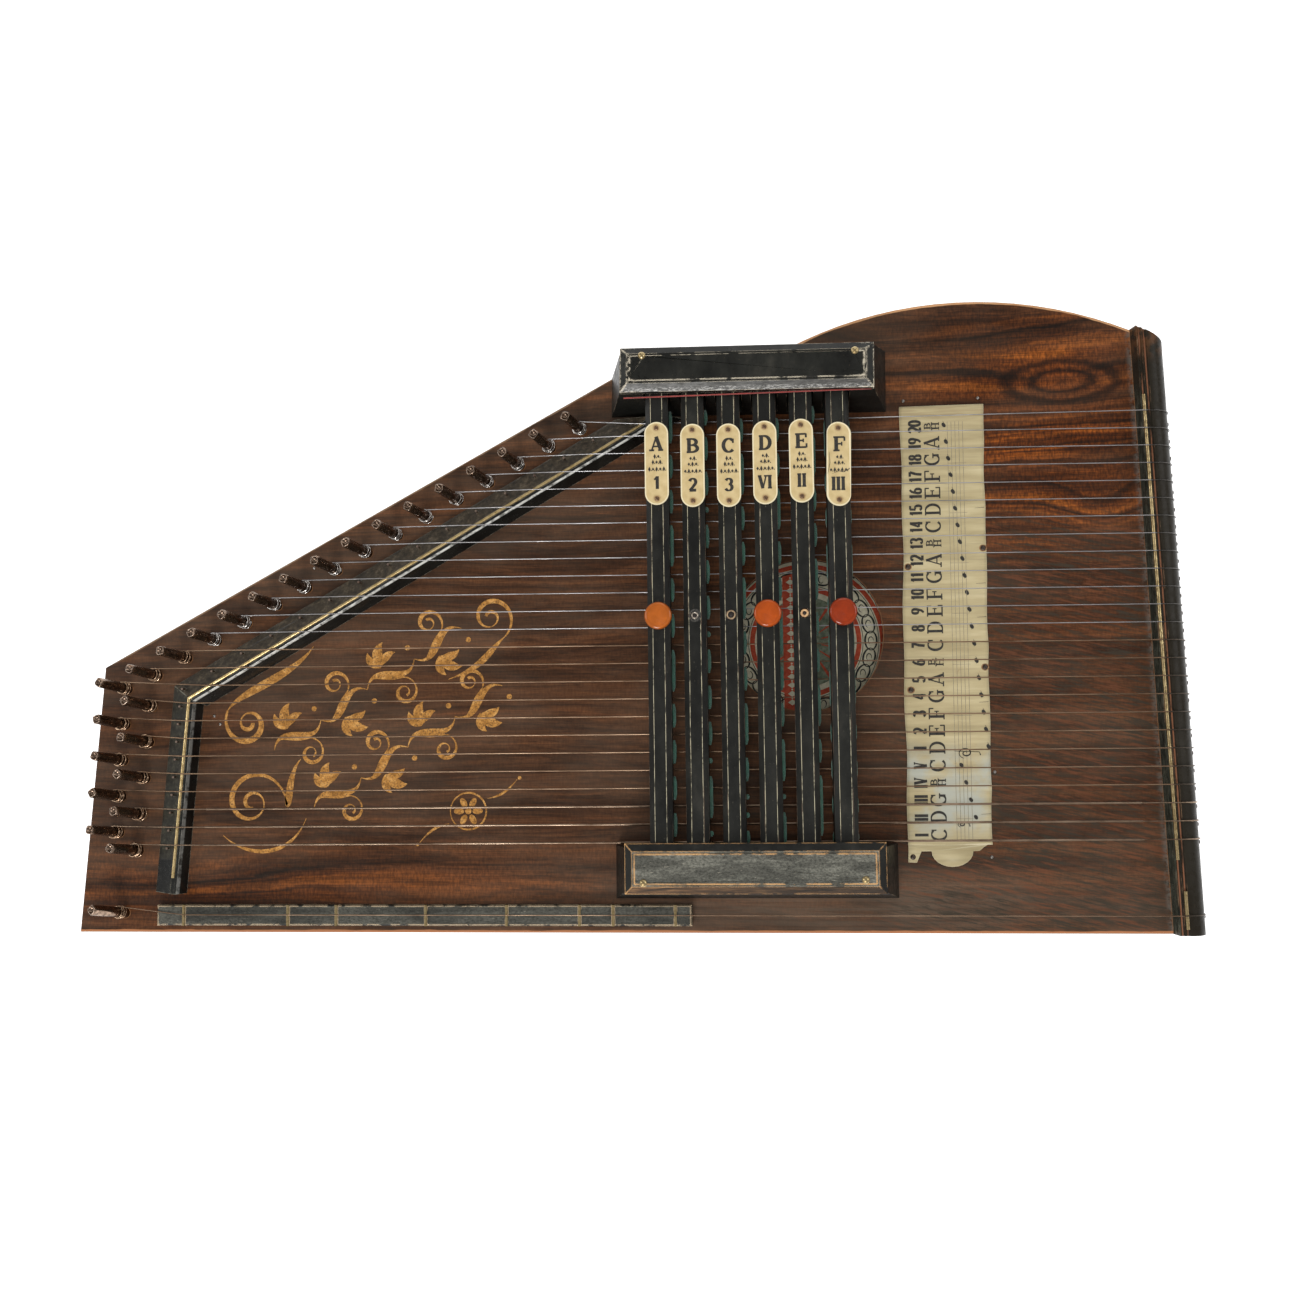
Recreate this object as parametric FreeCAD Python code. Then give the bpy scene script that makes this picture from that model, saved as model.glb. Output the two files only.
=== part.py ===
import FreeCAD, Part
import math
import os
from FreeCAD import Vector

# Chorded zither: a shallow soundbox with twenty-five chord strings, one fretted melody string and
# six sprung chord bars. Millimetres, +Z up. Plan places are measured from the soundbox's front-left
# corner and heights from the underside of the feet; place() moves them to the row origin, which is
# the bottom centre of the whole instrument.

# ---- soundbox ----
FRONT_LENGTH = 537.4
LEFT_CORNER = (10.0, 131.0)
DIAGONAL_ANGLE = 28.07
STEP_Y = 279.6
ARCH_CENTRE = (436.5, 111.3)
ARCH_RADIUS = 188.0
SIDE_BACK_X = 529.45
FOOT_HEIGHT = 5.0
BACK_THICKNESS = 3.0
RAIL_HEIGHT = 27.5
BOARD_THICKNESS = 3.5
RAIL_THICKNESS = 6.0
BOARD_TOP = FOOT_HEIGHT + BACK_THICKNESS + RAIL_HEIGHT + BOARD_THICKNESS
RAIL_BOTTOM = FOOT_HEIGHT + BACK_THICKNESS
RAIL_TOP = RAIL_BOTTOM + RAIL_HEIGHT
EDGE_ROUND = 0.8
HOLE_CENTRE = (360.0, 140.1)
HOLE_RADIUS = 36.3
FIT = 0.04

# ---- inside ----
PIN_BLOCK_FRONT_X = 61.0
PIN_BLOCK_CORNER = (66.0, 112.0)
PIN_BLOCK_BACK_X = 330.0
PIN_BLOCK_SLOPE = 0.547
HITCH_BLOCK_WIDTH = 30.0
BRACE_XS = (190.0, 308.0, 412.0, 462.0)
BRACE_WIDTH = 8.0
BRACE_HEIGHT = 14.0
ROSETTE_RADIUS = 41.0
ROSETTE_CENTRE = (360.1, 139.5)
PAPER = 0.3
FOOT_RADIUS = 6.5
FOOT_PLACES = ((50.0, 9.0), (513.0, 9.0), (287.0, 262.0), (500.0, 266.0))

# ---- strings ----
STRING_COUNT = 25
STRING_LIFT = 9.0
NUT_REFERENCE_X = 60.0
NUT_FIRST_Y = 42.9
NUT_SPACING = 8.64
TAIL_FIRST_Y = 43.3
TAIL_SPACING = 8.233
TOP_STRING_NUT_Y = 243.2
WOUND_COUNT = 3
BRONZE_COUNT = 9
WOUND_RADIUS = 0.6
BRONZE_RADIUS = 0.3
STEEL_RADIUS = 0.22
PLAIN_CORE_LENGTH = 14.0

# ---- nut and tail ----
NUT_START = (50.6, 19.2)
NUT_CORNER = (57.8, 114.6)
NUT_END = (300.0, 252.6)
NUT_WIRE_START_Y = 27.0
NUT_WIRE_END_X = 284.0
NUT_CREST = 7.9
NUT_PROFILE = ((-10.5, 0), (-10.5, 2.6), (-9.8, 3.2), (-1.4, 7.3), (-0.9, NUT_CREST),
               (1.0, NUT_CREST), (2.1, 7.5))
LEG_FOOT = 4.3
DIAGONAL_FOOT = 6.1
NUT_FOOT_EDGE = 0.9
WIRE_RADIUS = 0.8
TAIL_WIRE_INSET = 12.1
MELODY_WIRE_INSET = 9.8
TAIL_WIRE_YS = (34.0, 248.5)
MELODY_WIRE_YS = (3.0, 20.0)
TAIL_WIDTH = 14.2
TAIL_TOP = 7.9
TAIL_ROUND = 9.0
GUIDE_NAIL_RADIUS = 0.55
GUIDE_NAIL_TOP = 8.6
HITCH_DROP = 12.0
HITCH_RADIUS = 0.9
HITCH_REACH = 3.6

# ---- tuning pins ----
PIN_RADIUS = 2.5
PIN_DEPTH = 24.0
PIN_SHANK = 12.0
PIN_HEAD = 9.0
PIN_LEAN = 15.0
MELODY_PIN_LEAN = 22.0
PIN_LEAN_AZIMUTH = 155.0
PIN_COIL_HEIGHT = 4.0
LEFT_PIN_COUNT = 10
LEFT_PIN_FIRST_Y = 40.4
LEFT_PIN_SPACING = 8.9
INNER_PIN_X = 28.6
INNER_PIN_STEP = 0.7
OUTER_PIN_X = 17.8
OUTER_PIN_STEP = 0.37
DIAGONAL_PIN_X = 36.6
DIAGONAL_PIN_STEP_X = 15.36
DIAGONAL_PIN_DROP = 2.6
MELODY_PIN = (21.5, 10.2)

# ---- fretboard ----
FRETBOARD_X = (42.0, 304.0)
FRETBOARD_Y = (3.8, 13.7)
FRETBOARD_HEIGHT = 5.0
FRET_ZERO_X = 55.8
FRET_SCALE = 481.0
FRET_SEMITONES = (0, 2, 3, 5, 7, 9, 10, 12)
FRET_WIDTH = 1.2
FRET_SUNK = 0.8
FRET_PROUD = 0.8
MELODY_Y = 9.1
MELODY_LIFT_AT_FRET = 6.1
MELODY_RADIUS = 0.22

# ---- note card ----
CARD_TOP_LEFT = (407.0, 248.8)
CARD_BOTTOM_LEFT = (404.9, 40.8)
CARD_WIDTH = 39.1
CARD_EAR = 6.5
CARD_LOBE = 8.5
CARD_LOBE_DEPTH = 7.5
TACK_PLACES = ((408.6, 251.8), (443.6, 251.9), (408.7, 171.5), (443.8, 179.6), (408.5, 113.1),
               (443.0, 123.3), (407.3, 35.2), (443.3, 35.1), (445.7, 74.3))
TACK_RADIUS = 1.25

# ---- chord bars ----
BAR_COUNT = 6
BAR_FIRST_X = 292.0
BAR_PITCH = 16.8
BAR_WIDTH = 10.6
BAR_FLAT = 6.0
BAR_SHOULDER = 2.2
BAR_Y = (27.0, 267.0)
BAR_BOTTOM = 17.0
BAR_TOP = 26.0
BAR_LEANS = (0.0, 0.0, 0.0, 0.0, 0.0, 4.0)
BAR_TRAVEL = 3.0
FELT_WIDTH = 12.0
FELT_OFFSET = 0.8
FELT_BOTTOM = 13.4
FELT_Y = (42.4, 246.6)
FELT_GAP = 6.0
SCALE_NOTES = "CDGBCDEFGABCDEFGABCDEFGAB"
CHORDS = ("CEG", "DFAC", "GBD", "EGB", "ACE", "BDF")
LABEL_LENGTH = 39.3
LABEL_WIDTH = 11.2
LABEL_THICKNESS = 0.8
LABEL_YS = (219.7, 218.2, 217.7, 218.4, 218.7, 216.6)
LABEL_PIN_INSET = 4.6
LABEL_PIN_RADIUS = 0.6
BUTTON_Y = 147.9
BUTTON_RADIUS = 6.4
BUTTON_STEM = 2.2
BUTTON_HOLE_DEPTH = 5.0
BUTTON_BARS = (1, 4, 6)
SPRING_COIL_RADIUS = 2.9
SPRING_WIRE_RADIUS = 0.35
SPRING_TURNS = 5
SPRING_FLOOR = 3.4
SPRING_YS = (33.6, 260.5)

# ---- bar holders ----
HOLDER_X = (267.9, 400.5)
HOLDER_SIDE_SLOPE = 7.0
UPPER_HOLDER_Y = (247.9, 277.6)
UPPER_HOLDER_TOP_Y = (252.6, 273.2)
LOWER_HOLDER_Y = (16.3, 41.6)
LOWER_HOLDER_TOP_Y = (21.4, 41.6)
HOLDER_TOP = BAR_TOP + 0.3
SLOT_WIDTH = 12.4
SLOT_FLOOR = 3.0
UPPER_SLOT_END = 268.6
LOWER_SLOT_END = 25.4
STOP_FELT = 1.4
COVER_X = (275.6, 393.2)
UPPER_COVER_Y = (251.9, 273.0)
LOWER_COVER_Y = (21.1, 43.9)
COVER_SIDE = 3.0
COVER_BEVEL = 3.5
COVER_BEVEL_RISE = 2.7
COVER_PANEL_STEP = 0.6
UPPER_HOLDER_TURN = -1.0
NAIL_RADIUS = 0.7
NAIL_HEAD_RADIUS = 1.7
UPPER_NAILS = ((286.2, 268.3), (384.4, 268.3))
LOWER_NAILS = ((284.4, 26.4), (383.6, 27.6))

HITCH_TIP_X = FRONT_LENGTH + HITCH_REACH - 0.3
ARCH_TOP_Y = ARCH_CENTRE[1] + ARCH_RADIUS
ORIGIN = (HITCH_TIP_X / 2, ARCH_TOP_Y / 2)
UP = Vector(0, 0, 1)


# ---------------------------------------------------------------- helpers
def place(x, y, z=0.0):
    """Row-frame point from a plan place measured at the front-left corner."""
    return Vector(x - ORIGIN[0], y - ORIGIN[1], z)


def above(x, y, lift=0.0):
    """Row-frame point at a height above the soundboard's top."""
    return place(x, y, BOARD_TOP + lift)


def save(node, shapes):
    shape = shapes[0] if len(shapes) == 1 else Part.makeCompound(shapes)
    shape.exportStep("parts/" + node + ".step")


def block(x_range, y_range, z_range):
    size = (x_range[1] - x_range[0], y_range[1] - y_range[0], z_range[1] - z_range[0])
    return Part.makeBox(size[0], size[1], size[2], place(x_range[0], y_range[0], z_range[0]))


def prism(points, bottom, top):
    """Upright prism on a polygon of row-frame or plan points."""
    corners = [place(x, y, bottom) for x, y in points]
    return Part.Face(Part.makePolygon(corners + corners[:1])).extrude(Vector(0, 0, top - bottom))


def rod(start, end, radius):
    direction = end - start
    return Part.makeCylinder(radius, direction.Length, start, direction)


def tube_through(points, radius):
    """A round bar through a list of points, with a ball at each inner corner."""
    pieces = [rod(a, b, radius) for a, b in zip(points, points[1:])]
    pieces += [Part.makeSphere(radius, corner) for corner in points[1:-1]]
    return pieces[0] if len(pieces) == 1 else pieces[0].fuse(pieces[1:]).removeSplitter()


def loft_between(lower, upper):
    """Solid between two closed polygons with the same number of corners."""
    rings = [Part.makePolygon(ring + ring[:1]) for ring in (lower, upper)]
    return Part.makeLoft(rings, True, True)


def rectangle(x_range, y_range, z):
    corners = ((0, 0), (1, 0), (1, 1), (0, 1))
    return [place(x_range[i], y_range[j], z) for i, j in corners]


def inset(span, amount):
    return (span[0] + amount, span[1] - amount)


def line_crossing(a, b, c, d):
    """Plan point where line a-b meets line c-d."""
    ab = (b[0] - a[0], b[1] - a[1])
    cd = (d[0] - c[0], d[1] - c[1])
    along = ((c[0] - a[0]) * cd[1] - (c[1] - a[1]) * cd[0]) / (ab[0] * cd[1] - ab[1] * cd[0])
    return (a[0] + along * ab[0], a[1] + along * ab[1])


# ---------------------------------------------------------------- soundbox
def arch_y(x):
    return ARCH_CENTRE[1] + math.sqrt(ARCH_RADIUS ** 2 - (x - ARCH_CENTRE[0]) ** 2)


def side_x(y):
    """The right-hand side face, which leans inwards towards the back."""
    return FRONT_LENGTH + (SIDE_BACK_X - FRONT_LENGTH) * y / arch_y(SIDE_BACK_X)


def outline_face(z):
    step_end_x = ARCH_CENTRE[0] - math.sqrt(ARCH_RADIUS ** 2 - (STEP_Y - ARCH_CENTRE[1]) ** 2)
    diagonal_run = (STEP_Y - LEFT_CORNER[1]) / math.tan(math.radians(DIAGONAL_ANGLE))
    back_corner = place(SIDE_BACK_X, arch_y(SIDE_BACK_X), z)
    arch_start = place(step_end_x, STEP_Y, z)
    arch = Part.Arc(back_corner, place(ARCH_CENTRE[0], ARCH_TOP_Y, z), arch_start).toShape()
    rest = [arch_start, place(LEFT_CORNER[0] + diagonal_run, STEP_Y, z), place(*LEFT_CORNER, z),
            place(0, 0, z), place(FRONT_LENGTH, 0, z), back_corner]
    edges = [arch] + [Part.LineSegment(a, b).toShape() for a, b in zip(rest, rest[1:])]
    return Part.Face(Part.Wire(edges))


def outline_slab(bottom, top):
    return outline_face(bottom).extrude(Vector(0, 0, top - bottom))


def pin_block_region():
    slope_top = PIN_BLOCK_CORNER[1] + PIN_BLOCK_SLOPE * (PIN_BLOCK_BACK_X - PIN_BLOCK_CORNER[0])
    corners = ((-5, -5), (PIN_BLOCK_FRONT_X, -5), PIN_BLOCK_CORNER, (PIN_BLOCK_BACK_X, slope_top),
               (PIN_BLOCK_BACK_X, 310), (-5, 310))
    return prism(corners, RAIL_BOTTOM, RAIL_TOP)


def side_region(width, bottom, top):
    """Everything within a width of the right-hand side face."""
    corners = [(side_x(y) + shift, y) for y, shift in ((-5, -width), (-5, 20), (310, 20), (310, -width))]
    return prism(corners, bottom, top)


def hitch_block_region():
    return side_region(HITCH_BLOCK_WIDTH, RAIL_BOTTOM, RAIL_TOP)


def rails():
    """Front rail and curved bout rail: the rim between the two blocks."""
    slab = outline_slab(RAIL_BOTTOM, RAIL_TOP)
    hollow = outline_face(RAIL_BOTTOM).makeOffset2D(-RAIL_THICKNESS).extrude(Vector(0, 0, RAIL_HEIGHT))
    rim = slab.cut([hollow, pin_block_region(), hitch_block_region()])
    return sorted(rim.Solids, key=lambda solid: solid.CenterOfMass.y)


def make_braces():
    inside = outline_face(RAIL_BOTTOM).makeOffset2D(-RAIL_THICKNESS - 0.1).extrude(Vector(0, 0, RAIL_HEIGHT))
    inside = inside.cut(pin_block_region())
    bars = []
    for x in BRACE_XS:
        bar = block((x - BRACE_WIDTH / 2, x + BRACE_WIDTH / 2), (0, 300), (RAIL_TOP - BRACE_HEIGHT, RAIL_TOP))
        bars += bar.common(inside).Solids
    return bars


def top_rim_edges(solid, top):
    """Outer top edges of a flat board, without the sound hole's."""
    hole = place(*HOLE_CENTRE, top)
    edges = []
    for edge in solid.Edges:
        flat = abs(edge.BoundBox.ZMin - top) < 0.01 and abs(edge.BoundBox.ZMax - top) < 0.01
        if flat and (edge.CenterOfMass - hole).Length > 60:
            edges.append(edge)
    return edges


def make_soundboard(pin_cutters):
    board = outline_slab(RAIL_TOP, BOARD_TOP)
    board = board.makeFillet(EDGE_ROUND, top_rim_edges(board, BOARD_TOP))
    hole = Part.makeCylinder(HOLE_RADIUS, 10, place(*HOLE_CENTRE, RAIL_TOP - 2))
    tail_seat = side_region(TAIL_WIDTH, RAIL_TOP - 1, BOARD_TOP + 1)
    return board.cut([hole, tail_seat] + pin_cutters)


def make_foot(x, y):
    foot = Part.makeCylinder(FOOT_RADIUS, FOOT_HEIGHT, place(x, y))
    rims = [edge for edge in foot.Edges if edge.BoundBox.ZLength < 0.01]
    return foot.makeFillet(1.4, [rim for rim in rims if rim.CenterOfMass.z < 1])


# ---------------------------------------------------------------- tuning pins
def pin_axis(lean):
    tilt = math.radians(lean)
    azimuth = math.radians(PIN_LEAN_AZIMUTH)
    return Vector(math.sin(tilt) * math.cos(azimuth), math.sin(tilt) * math.sin(azimuth), math.cos(tilt))


def pin_place(string):
    """Plan place of a chord string's tuning pin, at the height of its coil."""
    if string < LEFT_PIN_COUNT:
        inner = string % 2 == 0
        x = INNER_PIN_X + INNER_PIN_STEP * string if inner else OUTER_PIN_X + OUTER_PIN_STEP * string
        return (x, LEFT_PIN_FIRST_Y + LEFT_PIN_SPACING * string)
    x = DIAGONAL_PIN_X + DIAGONAL_PIN_STEP_X * (string - LEFT_PIN_COUNT)
    return (x, string_y(string, x) - DIAGONAL_PIN_DROP)


def make_pin(plan, lean):
    axis = pin_axis(lean)
    coil = above(*plan, PIN_COIL_HEIGHT)
    shank = rod(coil - axis * PIN_DEPTH, coil + axis * (PIN_SHANK - PIN_COIL_HEIGHT), PIN_RADIUS)
    turn = FreeCAD.Rotation(UP, axis)
    start = coil + axis * (PIN_SHANK - PIN_COIL_HEIGHT - 0.5)
    rings = []
    for half_side, rise in ((2.15, 0.0), (1.85, PIN_HEAD), (1.4, PIN_HEAD + 0.6)):
        corners = [(half_side * c, half_side * s) for c, s in ((1, 0.5), (0.5, 1), (-0.5, 1), (-1, 0.5),
                                                               (-1, -0.5), (-0.5, -1), (0.5, -1), (1, -0.5))]
        ring = [start + turn.multVec(Vector(x, y, rise)) for x, y in corners]
        rings.append(Part.makePolygon(ring + ring[:1]))
    head = Part.makeLoft(rings, True, True)
    return shank.fuse(head)


def pin_cutter(plan, lean):
    axis = pin_axis(lean)
    coil = above(*plan, PIN_COIL_HEIGHT)
    return rod(coil - axis * (PIN_DEPTH + 1), coil + axis * 4, PIN_RADIUS + FIT)


# ---------------------------------------------------------------- strings
def string_y(string, x):
    """Plan line of a chord string; the fan closes slightly towards the tail."""
    share = (x - NUT_REFERENCE_X) / (side_x(140) - TAIL_WIRE_INSET - NUT_REFERENCE_X)
    at_nut = NUT_FIRST_Y + NUT_SPACING * string
    at_tail = TAIL_FIRST_Y + TAIL_SPACING * string
    return at_nut + (at_tail - at_nut) * share


def nut_point(string):
    if string == STRING_COUNT - 1:
        return (line_crossing(NUT_CORNER, NUT_END, (0, TOP_STRING_NUT_Y), (1, TOP_STRING_NUT_Y)))
    near = (NUT_REFERENCE_X, string_y(string, NUT_REFERENCE_X))
    far = (NUT_REFERENCE_X + 100, string_y(string, NUT_REFERENCE_X + 100))
    on_leg = string_y(string, NUT_CORNER[0]) < NUT_CORNER[1]
    run = (NUT_START, NUT_CORNER) if on_leg else (NUT_CORNER, NUT_END)
    return line_crossing(near, far, *run)


def tail_point(string):
    y = TAIL_FIRST_Y + TAIL_SPACING * string
    return (side_x(y) - TAIL_WIRE_INSET, y)


def string_radius(string):
    if string < WOUND_COUNT:
        return WOUND_RADIUS
    return BRONZE_RADIUS if string < WOUND_COUNT + BRONZE_COUNT else STEEL_RADIUS


def tail_drop(y, wire_inset, radius):
    """Points from the tail wire over the rounded shoulder and down to the hitch pin."""
    lift = STRING_LIFT
    reach = TAIL_ROUND + radius + 0.15
    points = [above(side_x(y) - wire_inset, y, lift)]
    for angle in (80, 60, 40, 20, 0):
        turn = math.radians(angle)
        x = side_x(y) - TAIL_ROUND + reach / math.cos(math.radians(10)) * math.cos(turn)
        rise = reach / math.cos(math.radians(10)) * math.sin(turn)
        points.append(above(x, y, TAIL_TOP - TAIL_ROUND + rise))
    points.append(above(side_x(y) + radius + 0.25, y, -HITCH_DROP + HITCH_RADIUS))
    return points


def make_string(string):
    radius = string_radius(string)
    core = min(radius, BRONZE_RADIUS)
    pin = pin_place(string)
    nut = nut_point(string)
    tail = tail_point(string)
    lean = PIN_RADIUS + core + 0.3
    at_pin = above(pin[0], pin[1] + lean, PIN_COIL_HEIGHT + 0.6)
    over_nut = above(*nut, STRING_LIFT)
    ends = tail_drop(tail[1], TAIL_WIRE_INSET, core)
    if radius == core:
        return tube_through([at_pin, over_nut] + ends, core)
    run = ends[0] - over_nut
    run.normalize()
    winding = rod(over_nut + run * PLAIN_CORE_LENGTH, ends[0] - run * PLAIN_CORE_LENGTH, radius)
    return tube_through([at_pin, over_nut] + ends, core).fuse(winding)


def make_melody_string():
    pin = above(MELODY_PIN[0], MELODY_PIN[1] + PIN_RADIUS + MELODY_RADIUS + 0.3, PIN_COIL_HEIGHT + 0.6)
    fret = above(FRET_ZERO_X, MELODY_Y, MELODY_LIFT_AT_FRET)
    return tube_through([pin, fret] + tail_drop(MELODY_Y, MELODY_WIRE_INSET, MELODY_RADIUS), MELODY_RADIUS)


# ---------------------------------------------------------------- nut and tail
def moulding(start, end, profile):
    """Straight moulding whose profile is (offset to the right of travel, height above the board)."""
    travel = above(*end) - above(*start)
    right = Vector(travel.y, -travel.x, 0)
    right.normalize()
    corners = [above(*start) + right * across + UP * height for across, height in profile]
    return Part.Face(Part.makePolygon(corners + corners[:1])).extrude(travel)


def half_space(at, angle):
    """Large block on the side of a plan point that the given direction points to."""
    piece = Part.makeBox(600, 600, 60, Vector(0, -300, -10))
    piece.rotate(Vector(0, 0, 0), UP, angle)
    piece.translate(above(*at))
    return piece


def travel_angle(start, end):
    return math.degrees(math.atan2(end[1] - start[1], end[0] - start[0]))


def extended(start, end, amount):
    length = math.dist(start, end)
    return tuple(e + (e - s) * amount / length for s, e in zip(start, end))


def nut_profile(foot):
    """Section of the nut moulding, whose inner slope reaches the board at the given distance."""
    return NUT_PROFILE + ((foot - 0.3, NUT_FOOT_EDGE), (foot, 0))


def make_nut_wire():
    start_share = (NUT_WIRE_START_Y - NUT_START[1]) / (NUT_CORNER[1] - NUT_START[1])
    start = (NUT_START[0] + (NUT_CORNER[0] - NUT_START[0]) * start_share, NUT_WIRE_START_Y)
    end = line_crossing(NUT_CORNER, NUT_END, (NUT_WIRE_END_X, 0), (NUT_WIRE_END_X, 1))
    return tube_through([above(*p, NUT_CREST) for p in (start, NUT_CORNER, end)], WIRE_RADIUS)


def make_nuts():
    leg_angle = travel_angle(NUT_START, NUT_CORNER)
    mitre = (leg_angle + travel_angle(NUT_CORNER, NUT_END)) / 2
    ahead = half_space(NUT_CORNER, mitre)
    leg = moulding(NUT_START, extended(NUT_START, NUT_CORNER, 12), nut_profile(LEG_FOOT)).cut(ahead)
    diagonal = moulding(extended(NUT_END, NUT_CORNER, 12), NUT_END, nut_profile(DIAGONAL_FOOT)).common(ahead)
    diagonal = diagonal.cut(half_space((NUT_END[0], UPPER_HOLDER_Y[0] - 0.6), 90))
    wire = make_nut_wire()
    return leg.cut(wire), diagonal.cut(wire)


def side_line(inset_from_side, y):
    return (side_x(y) - inset_from_side, y)


def tail_rod(inset_from_side, ys, lift, radius):
    near, far = (above(*side_line(inset_from_side, y), lift) for y in ys)
    return rod(near, far, radius)


def make_tail_moulding():
    """Moulding along the right-hand side, with a rounded outer shoulder and two wire grooves."""
    y = -4.0

    def corner(from_side, height):
        return above(side_x(y) - from_side, y, height)

    bend = TAIL_ROUND * (1 - math.cos(math.radians(45)))
    side_top = TAIL_TOP - TAIL_ROUND
    shoulder = Part.Arc(corner(TAIL_ROUND, TAIL_TOP), corner(bend, TAIL_TOP - bend),
                        corner(0, side_top)).toShape()
    path = [corner(0, side_top), corner(0, -BOARD_THICKNESS), corner(TAIL_WIDTH, -BOARD_THICKNESS),
            corner(TAIL_WIDTH, 0.4), corner(TAIL_WIDTH - 0.9, TAIL_TOP - 0.5),
            corner(TAIL_WIDTH - 1.3, TAIL_TOP), corner(TAIL_ROUND, TAIL_TOP)]
    edges = [shoulder] + [Part.LineSegment(a, b).toShape() for a, b in zip(path, path[1:])]
    travel = above(*side_line(0, 300)) - above(*side_line(0, y))
    solid = Part.Face(Part.Wire(edges)).extrude(travel)
    solid = solid.common(outline_slab(RAIL_TOP, BOARD_TOP + 20))
    grooves = [tail_rod(TAIL_WIRE_INSET, (-10, 300), TAIL_TOP, WIRE_RADIUS),
               tail_rod(MELODY_WIRE_INSET, (-10, 300), TAIL_TOP, WIRE_RADIUS)]
    return solid.cut(grooves)


def guide_nail(string):
    nut = nut_point(string)
    outward = 4.4 if nut[1] < NUT_CORNER[1] else 14.0
    x = nut[0] - outward
    y = string_y(string, x) - 1.6
    return rod(above(x, y, 1.0), above(x, y, GUIDE_NAIL_TOP), GUIDE_NAIL_RADIUS)


def hitch_pin(y):
    reach = HITCH_REACH
    pin = rod(above(side_x(y) - 12, y, -HITCH_DROP), above(side_x(y) + reach, y, -HITCH_DROP), HITCH_RADIUS)
    return pin


# ---------------------------------------------------------------- fretboard and card
def fret_x(semitones):
    return FRET_ZERO_X + FRET_SCALE * (1 - 2 ** (-semitones / 12))


def make_fret(semitones):
    x = fret_x(semitones)
    heights = (BOARD_TOP + FRETBOARD_HEIGHT - FRET_SUNK, BOARD_TOP + FRETBOARD_HEIGHT + FRET_PROUD)
    fret = block((x - FRET_WIDTH / 2, x + FRET_WIDTH / 2), FRETBOARD_Y, heights)
    return fret


def make_fretboard(frets):
    board = block(FRETBOARD_X, FRETBOARD_Y, (BOARD_TOP, BOARD_TOP + FRETBOARD_HEIGHT))
    tops = [edge for edge in board.Edges if edge.BoundBox.ZMin > BOARD_TOP + FRETBOARD_HEIGHT - 0.01]
    return board.makeChamfer(0.6, tops).cut(frets)


def card_point(across, up):
    """Point on the card, across from its left edge and up from its lower straight edge."""
    lean = math.atan2(CARD_TOP_LEFT[0] - CARD_BOTTOM_LEFT[0], CARD_TOP_LEFT[1] - CARD_BOTTOM_LEFT[1])
    x = CARD_BOTTOM_LEFT[0] + across + up * math.tan(lean)
    return above(x, CARD_BOTTOM_LEFT[1] + up)


def make_note_card():
    height = CARD_TOP_LEFT[1] - CARD_BOTTOM_LEFT[1]
    middle = CARD_WIDTH / 2 + 1
    lobe = Part.Arc(card_point(middle - CARD_LOBE - 1, -2.6), card_point(middle, -2.6 - CARD_LOBE_DEPTH),
                    card_point(middle + CARD_LOBE + 1, -2.6)).toShape()
    path = [card_point(middle + CARD_LOBE + 1, -2.6), card_point(CARD_WIDTH - CARD_EAR, -2.6),
            card_point(CARD_WIDTH - CARD_EAR, 1.5), card_point(CARD_WIDTH, 1.5),
            card_point(CARD_WIDTH, height), card_point(0, height), card_point(0, -8),
            card_point(4.4, -8), card_point(CARD_EAR, -2.6),
            card_point(middle - CARD_LOBE - 1, -2.6)]
    edges = [lobe] + [Part.LineSegment(a, b).toShape() for a, b in zip(path, path[1:])]
    return Part.Face(Part.Wire(edges)).extrude(Vector(0, 0, PAPER))


def make_tack(x, y):
    """Low domed tack head; its point is cut short at the board."""
    ball = Part.makeSphere(TACK_RADIUS * 1.3, above(x, y, PAPER + 0.1 - TACK_RADIUS * 0.5))
    keep = Part.makeCylinder(5, 5, above(x, y, PAPER + 0.1))
    return ball.common(keep)


# ---------------------------------------------------------------- chord bars
def bar_x(number):
    return BAR_FIRST_X + BAR_PITCH * (number - 1)


def leaned(shape, number):
    """Tip a bar's parts about the bar's own long axis, as that bar sits in its slots."""
    middle = above(bar_x(number), 0, (BAR_BOTTOM + BAR_TOP) / 2)
    shape = shape.copy()
    shape.rotate(middle, Vector(0, 1, 0), BAR_LEANS[number - 1])
    return shape


def make_bar(number):
    half = BAR_WIDTH / 2
    flat = BAR_FLAT / 2
    shoulder = BAR_TOP - BAR_SHOULDER
    profile = ((-half, BAR_BOTTOM), (half, BAR_BOTTOM), (half, shoulder), (flat, BAR_TOP), (-flat, BAR_TOP),
               (-half, shoulder))
    corners = [above(bar_x(number) + across, BAR_Y[0], height) for across, height in profile]
    bar = Part.Face(Part.makePolygon(corners + corners[:1])).extrude(Vector(0, BAR_Y[1] - BAR_Y[0], 0))
    hole_foot = above(bar_x(number), BUTTON_Y, BAR_TOP - BUTTON_HOLE_DEPTH)
    hole = Part.makeCylinder(BUTTON_STEM + FIT, 20, hole_foot)
    pin_holes = [Part.makeCylinder(LABEL_PIN_RADIUS + FIT, 5, above(bar_x(number), y, BAR_TOP - 3.1))
                 for y in label_pin_ys(number)]
    return leaned(bar.cut([hole] + pin_holes), number)


def felt_spans(number):
    """Felt under every string that is not in the bar's chord."""
    x = bar_x(number)
    spans = []
    start = FELT_Y[0]
    for string, note in enumerate(SCALE_NOTES):
        if note in CHORDS[number - 1]:
            y = string_y(string, x)
            if y - FELT_GAP / 2 - start > 2:
                spans.append((start, y - FELT_GAP / 2))
            start = y + FELT_GAP / 2
    if FELT_Y[1] - start > 2:
        spans.append((start, FELT_Y[1]))
    return spans


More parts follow.
